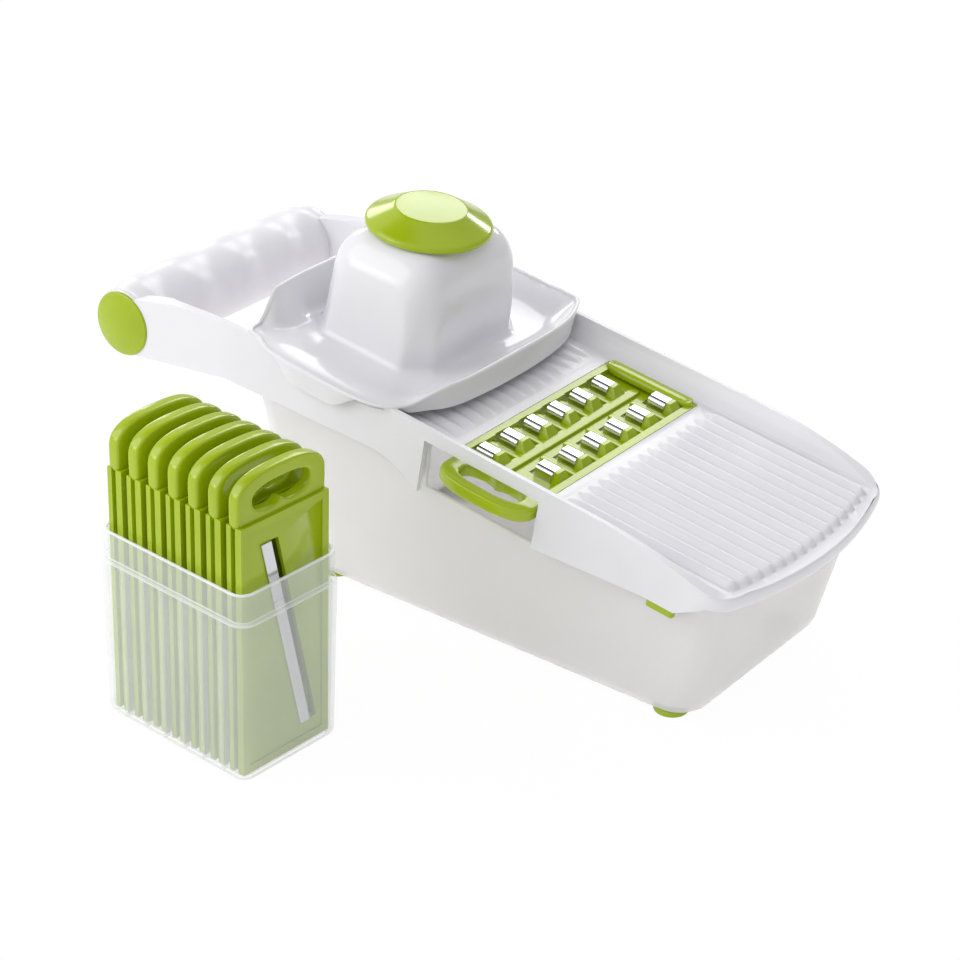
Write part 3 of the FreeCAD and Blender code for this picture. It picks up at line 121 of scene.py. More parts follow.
# Feet of the outer wall over the runway, over the rails and at the ears
WALL_FOOT, WALL_OVER_RAIL, EAR_FOOT = 5.2, 7.9, -0.9
RAIL_FADE, EAR_FADE, EAR_SIDE_FADE = (53.4, 60.5), (9.0, 26.0), (55.0, TRAY_HALF - 4.0)
DOME_HALF_LENGTH, DOME_HALF_WIDTH, DOME_DIAGONAL = 28.8, 35.0, 38.4
DOME_TOP, DOME_SHOULDER, SHOULDER_HEIGHT, DOME_FILLET = 53.0, 15.5, 20.0, 3.4
CROWN_SQUARENESS, SHOULDER_SQUARENESS, DOME_SQUARENESS = 4.0, 22.0, 60.0
DOME_DRAFT = 1.3
STEM_HOLE = 9.0
CROWN_ROWS, SHOULDER_ROWS, FLANK_ROWS, FILLET_ROWS = 5, 13, 14, 8
DISH_ROWS, RIM_ROWS, WALL_ROWS = 26, 7, 9
LEAN, LEAN_FOOT, LEAN_RUN, LEAN_PIVOT, LEAN_MARGIN = math.radians(2.2), 8.0, 14.0, 34.0, 0.1
# Radius and height of the knob and its stem, from the middle of its top
KNOB_PROFILE = ((0, 61.1), (14.0, 61.1), (14.6, 61.02), (15.1, 60.8), (15.5, 60.5), (24.4, 55.7),
                (25.0, 55.35), (25.5, 54.9), (25.8, 54.4), (25.9, 53.8), (25.8, 53.2), (25.5, 52.8),
                (25.0, 52.6), (7.0, 52.6), (7.0, 15.0), (0, 15.0))
KNOB_AROUND = 160

# Inserts: finger loop, fence and hoods, from the runway at the insert's centre
INSERT_AHEAD = 86.0
INSERT_THICKNESS = 7.4
FRAME_ROUND = 0.5
CUT_MARGIN = 0.01
LOOP_LENGTH, LOOP_WIDTH, LOOP_RIM, LOOP_ROOT = 18.4, 44.0, 5.5, 2.6
LOOP_THICKNESS, LOOP_MIDDLE, LOOP_SQUARENESS = 5.5, -4.1, 0.4
LOOP_AROUND, LOOP_SECTION = 96, 36
ARCH_SQUARENESS, ROOT_SQUARENESS, HOLE_SQUARENESS = 2.7, 9, 2.8
HOLE_HEIGHT, HOLE_HALF, HOLE_WAIST, HOLE_WAIST_SPREAD = 10.5, 14.2, 0.38, 0.5
FENCE_PLACE, FENCE_WIDTH, FENCE_HALF = 48.2, 7.0, 21.6
FENCE_MIDDLE, FENCE_HEIGHT, FENCE_SQUARENESS = -0.1, 4.4, 0.7
SPINE_PLACE, SPINE_WIDTH, SPINE_HALF, SPINE_MIDDLE = -2.6, 4.6, 49.0, -4.0
BAR_HALF, BAR_WIDTH, BAR_ASIDE = 9.6, 2.8, 0.4
BAR_HEIGHT, BAR_MIDDLE, BAR_SQUARENESS = 2.8, -2.7, 0.2
BAR_ROWS, BAR_SECTION, BAR_END_POWER = 49, 24, 6
# Rows of hoods: place along the board, and the first hood's place across it
HOOD_ROWS = ((-12.5, -44.6), (10.5, -36.8))
HOODS_IN_ROW, HOOD_PITCH = 6, 15.6
HOOD_LENGTH, HOOD_WIDTH, HOOD_TOP, HOOD_FOOT = 7.8, 7.6, 2.3, -2.6
HOOD_SHEET, HOOD_BEND, HOOD_BEND_POINTS, HOOD_LEAN = 0.5, 2.0, 6, 0.15

# Roundings of the other solids
PAD_ROUND, FOOT_ROUND, PLATE_ROUND, TUB_ROUND, STEEL_ROUND = 0.5, 0.4, 0.5, 0.6, 0.1

# Slicer board
BOARD_ROUND = 1.0
DECK_HALF, DECK_SKIN = 54.0, 3.2
RIB_START, RIB_END, RIB_BOW, RIB_TAPER, RIB_STOP = 26.5, 110.0, 6.0, 7.0, 2.5
REAR_RIB_START, REAR_RIB_END, REAR_RIB_HEIGHT = -112.0, -27.0, 1.1
RIB_COUNT, RIB_PITCH, RIB_HEIGHT, RIB_LIFT = 15, 6.75, 2.4, 0.05
RIB_FULLNESS, RIB_SHARPENING = 0.65, 3
RIB_ROWS, RIB_COLUMNS = 90, 14
# Rounded nose along the front edge: corner, bow and section
NOSE_HALF, NOSE_CORNER, NOSE_MIDDLE_EDGE = 61.5, 14.0, 115.0
NOSE_TURN, NOSE_SIDE = math.radians(16.4), 94.0
NOSE_OUT, NOSE_RISE, NOSE_MIDDLE, NOSE_FADE = 1.2, 3.0, -2.7, 9
NOSE_CORNER_POINTS, NOSE_BOW_POINTS, NOSE_SECTION = 14, 50, 13
# Grip with four finger dips, from the foot of the knob's axis
GRIP_BEHIND, GRIP_LEVEL, GRIP_RADIUS, GRIP_HALF = 104.0, -17.4, 16.4, 61.2
GRIP_END, GRIP_END_LEVEL, GRIP_END_RUN = 14.2, -18.0, 12.0
GRIP_ROWS, GRIP_SECTION = 135, 72
DIP_PITCH, DIP_DEPTH, DIP_TURN, DIP_SPREAD = 28.6, 2.7, math.radians(55), 0.95
CAP_DOME, CAP_EXTRA, CAP_EDGE, CAP_BASE = 3.2, 0.7, 0.9, -1.2
CAP_AROUND, CAP_ROWS, CAP_EDGE_ROWS = 96, 14, 6

# Storage case
CASE_YAW = math.radians(-4.2)
CASE_CORNER, CASE_CORNER_LEAST, CASE_CORNER_POINTS = 7.0, 1.0, 12
CASE_ROUND, CASE_LEAN, CASE_RIM_INSET, CASE_WALL = 3.5, 0.9, 0.9, 1.6
CASE_LEDGE, CASE_RIM, CASE_FLOOR = 67.3, 79.8, 1.6
CASE_ROUND_ROWS, CASE_RIM_ROWS = 8, 9
# Ledge of the wall: its foot below its level, its top above it, its inset there, and the inner step
LEDGE_FOOT, LEDGE_TOP, LEDGE_INSET, LEDGE_INNER_DROP = 0.5, 0.3, 0.15, 1.5
DIVIDERS, DIVIDER_PITCH, DIVIDER_DEPTH, DIVIDER_HALF, DIVIDER_TOP = 6, 10.3, 3.2, 0.5, 66.0
# Share of the light that the wall stops, and how much more it stops at its foot, rim and ledge as a
# painted highlight where it is seen edge on, and over what range of heights
CASE_VEIL = 0.23
FOOT_HIGHLIGHT_VEIL, FOOT_RANGE = 0.15, 4.0
RIM_HIGHLIGHT_VEIL, RIM_RANGE_LOW, RIM_RANGE_HIGH = 0.55, 0.9, 0.3
LEDGE_HIGHLIGHT_VEIL, LEDGE_RANGE_NEAR, LEDGE_RANGE_FAR = 0.4, 0.2, 0.6


# Frame of the deck, from the joints of the guard and the pusher

def joint_axis(name):
    """Direction of a joint in the row frame."""
    joint = [item for item in frame["joints"] if item["name"] == name][0]
    return np.array(joint["axis"], float)


def knob_foot():
    """Point where the knob's axis meets the runway, in millimetres."""
    low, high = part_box("pusher_plate")
    middle = (np.array(low) + np.array(high)) / 2 / MM
    return middle - PLATE_MIDDLE * DECK_W


DECK_U = joint_axis("guard_slide")
DECK_W = joint_axis("pusher_lift")
DECK_V = np.cross(DECK_W, DECK_U)
KNOB_FOOT = knob_foot()


def from_deck(u, v, w):
    """Row points, in metres, of arrays of deck coordinates."""
    points = u[..., None] * DECK_U + v[..., None] * DECK_V + w[..., None] * DECK_W
    return (points + KNOB_FOOT) * MM


# Materials

def linear(code):
    """An sRGB hex colour as linear RGBA."""
    parts = [int(code[i:i + 2], 16) / 255 for i in (1, 3, 5)]
    return tuple(c / 12.92 if c <= 0.04045 else ((c + 0.055) / 1.055) ** 2.4 for c in parts) + (1.0,)


def add(tree, kind, inputs=None, **settings):
    """Add a node, set its properties, and set or link its inputs."""
    item = tree.nodes.new(kind)
    for name, value in settings.items():
        setattr(item, name, value)
    for name, value in (inputs or {}).items():
        if isinstance(value, bpy.types.NodeSocket):
            tree.links.new(value, item.inputs[name])
        else:
            item.inputs[name].default_value = value
    return item


def span(value, low, high, first=NOISE_LOW, last=NOISE_HIGH):
    """Inputs that take a value from low to high while it runs from a first level to a last."""
    return {"Value": value, "From Min": first, "From Max": last, "To Min": low, "To Max": high}


def new_material(name):
    """An empty node material and its tree."""
    material = bpy.data.materials.new(name)
    material.use_nodes = True
    material.node_tree.nodes.clear()
    return material, material.node_tree


def moulded(name, pale, deep, roughness, ior):
    """A moulded plastic: a faint drift of colour where the melt cooled at different rates, a gloss
    that varies by a few hundredths, and a skin that copies the polish of the mould."""
    material, tree = new_material(name)
    place = add(tree, "ShaderNodeTexCoord").outputs["Object"]
    drift = add(tree, "ShaderNodeTexNoise", {
        "Vector": place, "Scale": 1 / (MELT_DRIFT * MM), "Detail": 2.0}).outputs["Fac"]
    skin = add(tree, "ShaderNodeTexNoise", {
        "Vector": place, "Scale": 1 / (SKIN_GRAIN * MM), "Detail": 3.0}).outputs["Fac"]
    share = add(tree, "ShaderNodeMapRange", span(drift, 0.0, 1.0)).outputs["Result"]
    colour = add(tree, "ShaderNodeMix", {
        "Factor": share, "A": linear(pale), "B": linear(deep)}, data_type="RGBA").outputs["Result"]
    bump = add(tree, "ShaderNodeBump", {
        "Height": skin, "Strength": SKIN_STRENGTH, "Distance": SKIN_DENT * MM}).outputs["Normal"]
    gloss = span(skin, roughness - GLOSS_BELOW, roughness + GLOSS_ABOVE)
    shader = add(tree, "ShaderNodeBsdfPrincipled", {
        "Base Color": colour, "IOR": ior, "Normal": bump,
        "Roughness": add(tree, "ShaderNodeMapRange", gloss).outputs["Result"],
    })
    add(tree, "ShaderNodeOutputMaterial", {"Surface": shader.outputs["BSDF"]})
    return material, shader


def frosted(name, pale, deep, veil, roughness, scatter):
    """Frosted polypropylene: light scatters inside the wall, and part of it goes straight through."""
    material, shader = moulded(name, pale, deep, roughness, ior=1.49)
    for socket, value in (("Subsurface Weight", scatter), ("Subsurface Radius", SCATTER_TINT),
                          ("Subsurface Scale", SCATTER_DEPTH * MM), ("Alpha", veil)):
        shader.inputs[socket].default_value = value
    return material


def paint_edge_highlights(material):
    """Painted highlights where the case's wall is seen edge on: it stops more light at its foot, rim and
    ledge.
    """
    tree = material.node_tree
    shader = [item for item in tree.nodes if item.type == "BSDF_PRINCIPLED"][0]
    place = add(tree, "ShaderNodeTexCoord").outputs["Object"]
    height = add(tree, "ShaderNodeSeparateXYZ", {"Vector": place}).outputs["Z"]
    over_ledge = add(tree, "ShaderNodeMath", {0: height, 1: CASE_LEDGE * MM}, operation="SUBTRACT")
    from_ledge = add(tree, "ShaderNodeMath", {0: over_ledge.outputs[0]}, operation="ABSOLUTE")
    # Bands of extra opacity at the foot, rim and ledge are painted highlights where the wall is seen edge
    # on
    foot = span(height, CASE_VEIL + FOOT_HIGHLIGHT_VEIL, CASE_VEIL, 0.0, FOOT_RANGE * MM)
    rim = span(height, 0.0, RIM_HIGHLIGHT_VEIL, (CASE_RIM - RIM_RANGE_LOW) * MM, (CASE_RIM - RIM_RANGE_HIGH) * MM)
    ledge = span(from_ledge.outputs[0], LEDGE_HIGHLIGHT_VEIL, 0.0, LEDGE_RANGE_NEAR * MM, LEDGE_RANGE_FAR * MM)
    level = add(tree, "ShaderNodeMapRange", foot).outputs["Result"]
    for inputs in (rim, ledge):
        more = add(tree, "ShaderNodeMapRange", inputs).outputs["Result"]
        level = add(tree, "ShaderNodeMath", {0: level, 1: more}, operation="ADD").outputs[0]
    tree.links.new(level, shader.inputs["Alpha"])


def rolled_steel():
    """Bright rolled stainless steel: a near mirror with faint lines along the strip."""
    material, tree = new_material("bright_rolled_stainless_steel")
    place = add(tree, "ShaderNodeTexCoord").outputs["Object"]
    stretch = add(tree, "ShaderNodeMapping", {"Vector": place, "Scale": (1.0, ROLL_STRETCH, 1.0)})
    lines = add(tree, "ShaderNodeTexNoise", {
        "Vector": stretch.outputs["Vector"], "Scale": 1 / (ROLL_LINE * MM), "Detail": 2.0}).outputs["Fac"]
    bump = add(tree, "ShaderNodeBump", {
        "Height": lines, "Strength": ROLL_STRENGTH, "Distance": ROLL_DENT * MM}).outputs["Normal"]
    gloss = add(tree, "ShaderNodeMapRange", span(lines, STEEL_BRIGHT, STEEL_DULL)).outputs["Result"]
    shader = add(tree, "ShaderNodeBsdfPrincipled", {
        "Base Color": linear("#D2D3D6"), "Metallic": 1.0, "Roughness": gloss, "Normal": bump})
    add(tree, "ShaderNodeOutputMaterial", {"Surface": shader.outputs["BSDF"]})
    return material


def make_materials():
    """Every finish of the set, by its slot or its own name."""
    made = {}
    # Polished ABS: bright, opaque, with clear reflections
    made["white_plastic"] = moulded("white_polished_abs", "#E4E3E7", "#DFDEE3", roughness=0.15, ior=1.5)[0]
    made["green_plastic"] = moulded("green_polished_abs", "#A4B90F", "#9AAF0B", roughness=0.15, ior=1.52)[0]
    # Satin ABS of the board: the same white with broad, soft highlights
    made["white_satin"] = moulded("white_satin_abs", "#E4E3E7", "#DFDEE3", roughness=0.34, ior=1.5)[0]
    # Thermoplastic rubber of the feet: the same green with a soft sheen
    made["green_rubber"] = moulded("green_soft_elastomer", "#A2B91A", "#98AE16", roughness=0.42, ior=1.5)[0]
    # Thick frosted wall of the tub: milky, lit through
    made["frosted_plastic"] = frosted("frosted_polypropylene_tub", "#FFFBFA", "#FCF8F8", veil=0.6,
                                      roughness=0.3, scatter=0.7)
    # Thin wall of the case: a faint veil over the inserts, with painted highlights along its edges
    made["frosted_case"] = frosted("frosted_polypropylene_case", "#F8FAFA", "#F3F6F7", veil=CASE_VEIL,
                                   roughness=0.2, scatter=0.0)
    # Painted highlights along the foot, rim and ledge of the case's wall
    paint_edge_highlights(made["frosted_case"])
    made["stainless_steel"] = rolled_steel()
    return made


MATERIALS = make_materials()


# Pieces

def finish_piece(piece, slot, body, nodes, material=None):
    """Give a piece its finish, hang it on the body that it moves with, and hide the nodes that it stands
    for.
    """
    piece.data.materials.clear()
    piece.data.materials.append(MATERIALS[material or slot])
    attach(piece, body)
    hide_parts(*nodes)
    return piece


def add_faces(shape, points, faces, closed):
    """Add points and the faces between them to a shape. In a closed surface the points that coincide
    become one, and the faces are turned outwards."""
    mesh = bpy.data.meshes.new("surface")
    mesh.from_pydata(points.reshape(-1, 3), [], faces)
    if closed:
        part = bmesh.new()
        part.from_mesh(mesh)
        bmesh.ops.remove_doubles(part, verts=part.verts, dist=SURFACE_MERGE * MM)
        bmesh.ops.recalc_face_normals(part, faces=part.faces)
        part.to_mesh(mesh)
        part.free()
    shape.from_mesh(mesh)
    bpy.data.meshes.remove(mesh)


def add_grid(shape, points, joined=False, round_rows=True):
    """Add a grid of points to a shape as four-sided faces. Round rows close on themselves, and joined
    rows also run from the last to the first."""
    index = np.arange(points.shape[0] * points.shape[1]).reshape(points.shape[:2])
    if joined:
        index = np.concatenate([index, index[:1]])
    if round_rows:
        index = np.concatenate([index, index[:, :1]], axis=1)
    corners = [index[:-1, :-1], index[1:, :-1], index[1:, 1:], index[:-1, 1:]]
    add_faces(shape, points, np.stack(corners, -1).reshape(-1, 4), closed=round_rows)


def new_piece(name, shape, angle=SURFACE_CREASE):
    """A scene object from a shape, smooth but for edges sharper than an angle."""
    mesh = bpy.data.meshes.new(name)
    shape.to_mesh(mesh)
    shape.free()
    mesh.shade_smooth()
    mesh.set_sharp_from_angle(angle=math.radians(angle))
    piece = bpy.data.objects.new(name, mesh)
    bpy.context.scene.collection.objects.link(piece)
    return piece


def softened(node, body, slot, radius, segments=3, material=None, share=None, cut=None, grids=()):
    """A node's own shape with its doubled points merged, flat faces joined and sharp edges rounded.
    A share of the radius may be given by a function of an edge's middle, the shape may be cut off at
    a plane, and grids of points may be added."""
    shape = bmesh.new()
    shape.from_mesh(frame["nodes"][node].data)
    bmesh.ops.remove_doubles(shape, verts=shape.verts, dist=SOLID_MERGE * MM)
    if cut:
        everything = shape.verts[:] + shape.edges[:] + shape.faces[:]
        bmesh.ops.bisect_plane(shape, geom=everything, plane_co=cut[0], plane_no=cut[1],
                               clear_outer=True)
        bmesh.ops.holes_fill(shape, edges=[edge for edge in shape.edges if edge.is_boundary], sides=0)
    bmesh.ops.dissolve_limit(shape, angle_limit=math.radians(FLAT_ANGLE), verts=shape.verts,
                             edges=shape.edges)
    weight = shape.edges.layers.float.new("bevel_weight_edge")
    for edge in shape.edges:
        if len(edge.link_faces) == 2 and edge.calc_face_angle() > math.radians(SOLID_CREASE):
            middle = (edge.verts[0].co + edge.verts[1].co) / (2 * MM)
            edge[weight] = share(middle) if share else 1.0
    for points, joined, round_rows in grids:
        add_grid(shape, points, joined, round_rows)
    piece = new_piece(node + "_finish", shape, SOLID_CREASE)
    rounding = piece.modifiers.new("RoundedEdges", "BEVEL")
    rounding.width = radius * MM
    rounding.segments = segments
    rounding.limit_method = "WEIGHT"
    rounding.use_clamp_overlap = True
    rounding.harden_normals = True
    return finish_piece(piece, slot, body, [node], material)


def round_grid(name, points, joined):
    """A piece whose rows run round. Joined, the last row meets the first, and otherwise the first
    and last rows are single points."""
    shape = bmesh.new()
    add_grid(shape, points, joined)
    return new_piece(name, shape)


def all_round(count):
    """Angles of a full turn, in equal steps."""
    return np.linspace(0, FULL_TURN, count, endpoint=False)


def smooth_step(value, low, high):
    """0 below low, 1 above high, and an S curve between."""
    t = np.clip((value - low) / (high - low), 0, 1)
    return t * t * (3 - 2 * t)


def power(value, exponent):
    """A power that keeps the sign."""
    return np.sign(value) * np.abs(value) ** exponent


# Hand guard

def rounded_outline(turn, sides, squareness):
    """Radius of a rounded polygon in each direction: the p-norm of the distances to its sides."""
    total = sum(np.maximum(np.cos(turn - angle), 0) ** squareness / distance ** squareness
                for angle, distance in sides)
    return total ** (-1 / squareness)


def dome_sides(drawn_in):
    """Angle and distance of the sides of the dome's octagon, drawn in by some length."""
    sides = []
    for quarter in range(4):
        straight = DOME_HALF_LENGTH if quarter % 2 == 0 else DOME_HALF_WIDTH
        sides.append((quarter * QUARTER, straight - drawn_in))
        sides.append(((quarter + 0.5) * QUARTER, DOME_DIAGONAL - drawn_in))
    return sides


def dome_foot(turn):
    """Outline in which the dome's fillet meets the dish."""
    return rounded_outline(turn, dome_sides(-DOME_FILLET), DOME_SQUARENESS)


def lean(u, w):
    """The dome and the knob lean back a little against the deck: a turn about a pivot, by an angle that
    grows in an S curve from the foot of the dome up."""
    turn = LEAN * smooth_step(w, LEAN_FOOT, LEAN_FOOT + LEAN_RUN)
    above = w - LEAN_PIVOT
    return (u * np.cos(turn) - above * np.sin(turn),
            LEAN_PIVOT + above * np.cos(turn) + u * np.sin(turn))


def rim_height(u, v):
    """Rim of the tray: a high wall at the rear, a low edge along the near side and its front corner,
    and a raised edge along the front and the far side, with S curves between their heights."""
    side = RIM_NEAR + (RIM_SIDE - RIM_NEAR) * smooth_step(v, *SIDE_FADE)
    high = 1 - smooth_step(np.abs(v), *WALL_FADE)
    rear = (RIM_BACK - side) * smooth_step(-u, *REAR_FADE) * high
    front = (RIM_FRONT - side) * smooth_step(u, *FRONT_FADE) * smooth_step(v, *CORNER_FADE)
    return side + rear + front


def wall_foot(u, v):
    """Lower edge of the tray's outer wall: over the runway, over the rails, and down to the ears, with
    S curves between their heights."""
    over_rail = smooth_step(np.abs(v), *RAIL_FADE)
    foot = WALL_FOOT + (WALL_OVER_RAIL - WALL_FOOT) * over_rail
    ear = 1 - smooth_step(np.abs(u), *EAR_FADE)
    return foot + (EAR_FOOT - foot) * ear * smooth_step(np.abs(v), *EAR_SIDE_FADE)


def tray_outline(turn):
    """Radius of the tray's rim: a rounded rectangle with two pointed corners, and a waist where the
    front edge steps back to the low near corner. Each of them is a bell curve of the angle."""
    sides = enumerate((TRAY_FRONT, TRAY_FAR, TRAY_BACK, TRAY_HALF))
    radius = rounded_outline(turn, [(quarter * QUARTER, distance) for quarter, distance in sides],
                             TRAY_SQUARENESS)
    for (tip, length), spread in ((FAR_TIP, TIP_SPREAD), (NEAR_TIP, TIP_SPREAD), (WAIST, WAIST_SPREAD)):
        away = np.angle(np.exp(1j * (turn - tip)))
        radius = radius + length * np.exp(-(away / spread) ** 2)
    return radius


def dome_rows(turn, inset):
    """Radius and height of the dome's rows, moved inwards by the wall for its inner side: a flat crown
    from the stem's hole, a quarter ellipse over the shoulder, a flank that widens downwards, and a
    quarter circle into the dish. The octagon's corners sharpen from the crown to the foot."""
    crown = rounded_outline(turn, dome_sides(DOME_DRAFT + DOME_SHOULDER), CROWN_SQUARENESS)
    out = np.linspace(0, 1, CROWN_ROWS)[:-1, None]
    bend = np.linspace(QUARTER, 0, SHOULDER_ROWS)
    down = np.linspace(0, 1, FLANK_ROWS)[1:]
    curl = np.linspace(0, QUARTER, FILLET_ROWS)[1:]
    flank_top = DOME_TOP - SHOULDER_HEIGHT
    fillet = DOME_FILLET + inset
    flank_foot = DISH_FLOOR - inset + fillet
    drawn_in = np.concatenate([DOME_DRAFT + (DOME_SHOULDER - inset) * (1 - np.cos(bend)),
                               DOME_DRAFT * (1 - down), -fillet * (1 - np.cos(curl))])
    squareness = np.concatenate([
        CROWN_SQUARENESS + (SHOULDER_SQUARENESS - CROWN_SQUARENESS) * np.cos(bend),
        SHOULDER_SQUARENESS + (DOME_SQUARENESS - SHOULDER_SQUARENESS) * down,
        DOME_SQUARENESS + 0 * curl])
    height = np.concatenate([DOME_TOP - inset + 0 * out[:, 0],
                             flank_top + (SHOULDER_HEIGHT - inset) * np.sin(bend),
                             flank_top + (flank_foot - flank_top) * down,
                             flank_foot - fillet * np.sin(curl)])
    sides = dome_sides(drawn_in[:, None] + inset)
    radius = np.concatenate([STEM_HOLE + (crown - STEM_HOLE) * out,
                             rounded_outline(turn, sides, squareness[:, None])])
    return radius, height[:, None] + 0 * radius


def dish_rows(turn, inset, edge):
    """Radius and height of the dish's rows from the dome's foot to the rim, lowered by the wall for its
    underside: a floor, and a rise to the rim as a power of the way."""
    foot = dome_foot(turn)
    radius = foot + (edge - foot) * np.linspace(0, 1, DISH_ROWS)[1:, None]
    u, v = radius * np.cos(turn), radius * np.sin(turn)
    floor = DISH_FLOOR + (FLANGE - DISH_FLOOR) * smooth_step(np.abs(v), *FLANGE_FADE)
    rise = np.clip(1 - (edge - radius) / np.minimum(RIM_RISE, edge - foot), 0, 1) ** RIM_BOWL
    return radius, floor + (rim_height(u, v) - floor) * rise - inset


def make_guard():
    """Hand guard as one closed shell, a radius and a height in each direction: over the dome and the
    dish, in a half circle round the rim, straight down the outer wall and back along the underside."""
    turn = all_round(AROUND)
    cos, sin = np.cos(turn), np.sin(turn)
    tray = tray_outline(turn)
    edge = tray - TRAY_WALL
    top, low = rim_height(edge * cos, edge * sin), wall_foot(tray * cos, tray * sin)
    flare = FLARE * np.abs(sin) ** FLARE_POWER - FRONT_BULGE * np.maximum(cos, 0) ** FLARE_POWER
    bend = np.linspace(0, math.pi, RIM_ROWS)[1:, None]
    down = np.linspace(0, 1, WALL_ROWS)[1:, None]
    half = TRAY_WALL / 2
    under_dish, under_dome = dish_rows(turn, TRAY_WALL, edge), dome_rows(turn, TRAY_WALL)
    parts = (
        dome_rows(turn, 0.0), dish_rows(turn, 0.0, edge),
        (tray - half - half * np.cos(bend), top + half * np.sin(bend)),
        (tray - flare * down, top + (low - top) * down),
        ((tray - flare - TRAY_WALL)[None, :], low[None, :]),
        [rows[::-1] for rows in under_dish], [rows[::-1] for rows in under_dome],
    )
    radius, w = [np.concatenate(rows) for rows in zip(*parts)]
    u, v = radius * cos, radius * sin
    leaning_u, leaning_w = lean(u, w)
    leans = radius < dome_foot(turn) + LEAN_MARGIN
    points = from_deck(np.where(leans, leaning_u, u), v, np.where(leans, leaning_w, w))
    piece = round_grid("guard_shell", points, joined=True)
    finish_piece(piece, "white_plastic", "guard", ["guard_body"])


def make_knob():
    """Knob with a flat top, a sloping flank and a rounded lip: its profile, with that of its stem,
    carried round the axis."""
    turn = all_round(KNOB_AROUND)
    radius, height = [np.array(part)[:, None] for part in zip(*KNOB_PROFILE)]
    u, w = lean(radius * np.cos(turn), height + 0 * turn)
    piece = round_grid("turned_knob", from_deck(u, radius * np.sin(turn), w), joined=False)
    finish_piece(piece, "green_plastic", "pusher", ["guard_knob"])


# Inserts

def superellipse(cos, sin, half, height, squareness):
    """Radius of a superellipse in the direction of a cosine and a sine."""
    return (np.abs(cos / half) ** squareness + np.abs(sin / height) ** squareness) ** (-1 / squareness)


def loop_points():
    """Finger loop of an insert in its own frame: across, away from the body, and up to its top. It is
    a rounded section carried round a hole that narrows in the middle, out to an arch or a square foot."""
    turn = all_round(LOOP_AROUND)
    cos, sin = np.cos(turn), np.sin(turn)
    centre = LOOP_LENGTH - LOOP_RIM - HOLE_HEIGHT / 2
    arch = superellipse(cos, sin, LOOP_WIDTH / 2, LOOP_LENGTH - centre, ARCH_SQUARENESS)
    foot = superellipse(cos, sin, LOOP_WIDTH / 2, centre + LOOP_ROOT, ROOT_SQUARENESS)
    waist = HOLE_WAIST * np.exp(-((turn - 3 * QUARTER) / HOLE_WAIST_SPREAD) ** 2)
    hole = superellipse(cos, sin, HOLE_HALF, HOLE_HEIGHT / 2, HOLE_SQUARENESS) * (1 - waist)
    bend = all_round(LOOP_SECTION)[:, None]
    away = 0.5 + 0.5 * power(np.cos(bend), LOOP_SQUARENESS)
    up = LOOP_MIDDLE + LOOP_THICKNESS / 2 * power(np.sin(bend), LOOP_SQUARENESS)
    radius = hole + (np.where(sin > 0, arch, foot) - hole) * away
    return np.stack([radius * cos, centre + radius * sin, up + 0 * radius], -1)


def placed(points, base, across, along, up):
    """Points of an insert's own frame in the row frame, in metres."""
    axes = np.array([across, along, up], float)
    return (points @ axes + np.array(base)) * MM


def bar_points(half, width, height, squareness):
    """Rounded bar with closed ends: along it, across it and up, from its middle. Its section is a
    superellipse that closes as a power of the way to an end."""
    along = np.sin(np.linspace(-QUARTER, QUARTER, BAR_ROWS))
    thin = np.maximum(1 - np.abs(along) ** (BAR_END_POWER / squareness), 0)[:, None]
    bend = all_round(BAR_SECTION)
    across = width / 2 * thin * power(np.cos(bend), squareness)
    up = height / 2 * np.sqrt(thin) * power(np.sin(bend), squareness)
    return half * along[:, None] + 0 * bend, across, up


def grater_bars():
    """Fence at the far end of the grater, and the low bars between its hoods."""
    u, v, w = bar_points(FENCE_HALF, FENCE_WIDTH, FENCE_HEIGHT, FENCE_SQUARENESS)
    bars = [from_deck(INSERT_AHEAD + u, FENCE_PLACE + v, FENCE_MIDDLE + w)]
    v, u, w = bar_points(SPINE_HALF, SPINE_WIDTH, BAR_HEIGHT, BAR_SQUARENESS)
    bars.append(from_deck(INSERT_AHEAD + SPINE_PLACE + u, SPINE_MIDDLE + v, BAR_MIDDLE + w))
    u, v, w = bar_points(BAR_HALF, BAR_WIDTH, BAR_HEIGHT, BAR_SQUARENESS)
    for row, first in HOOD_ROWS:
        for number in range(1, HOODS_IN_ROW):
            middle = first + HOOD_PITCH * (number - 0.5) + BAR_ASIDE
            bars.append(from_deck(INSERT_AHEAD + row + u, middle + v, BAR_MIDDLE + w))
    return [(bar, False, True) for bar in bars]


def hood_section(half, top, radius):
    """Section of a hood across the board: up one leg, round two quarter circles and down the other."""
    bend = np.linspace(0, QUARTER, HOOD_BEND_POINTS)
    v = np.concatenate([[-half - HOOD_LEAN], -half + radius - radius * np.cos(bend)])
    w = np.concatenate([[HOOD_FOOT], top - radius + radius * np.sin(bend)])
    return np.concatenate([v, -v[::-1]]), np.concatenate([w, w[::-1]])


def add_hood(shape, row, middle):
    """One hood of bent sheet, open at its front and rear: the section's outer line and, backwards, its
    inner line, carried along the hood and closed by a strip at each end."""
    outer = hood_section(HOOD_WIDTH / 2, HOOD_TOP, HOOD_BEND)
    inner = hood_section(HOOD_WIDTH / 2 - HOOD_SHEET, HOOD_TOP - HOOD_SHEET, HOOD_BEND - HOOD_SHEET)
    v, w = [np.concatenate([out, back[::-1]]) for out, back in zip(outer, inner)]
    u = row + HOOD_LENGTH / 2 * np.array([[-1], [1]]) + 0 * v
    points = from_deck(INSERT_AHEAD + u, middle + v + 0 * u, w + 0 * u)
    count = len(v)
    ring = np.arange(count)
    after = np.roll(ring, -1)
    sides = np.stack([ring, count + ring, count + after, after], -1)
    step = ring[:count // 2 - 1]
    strip = np.stack([step, step + 1, count - 2 - step, count - 1 - step], -1)
    add_faces(shape, points, np.concatenate([sides, strip, count + strip]), closed=True)


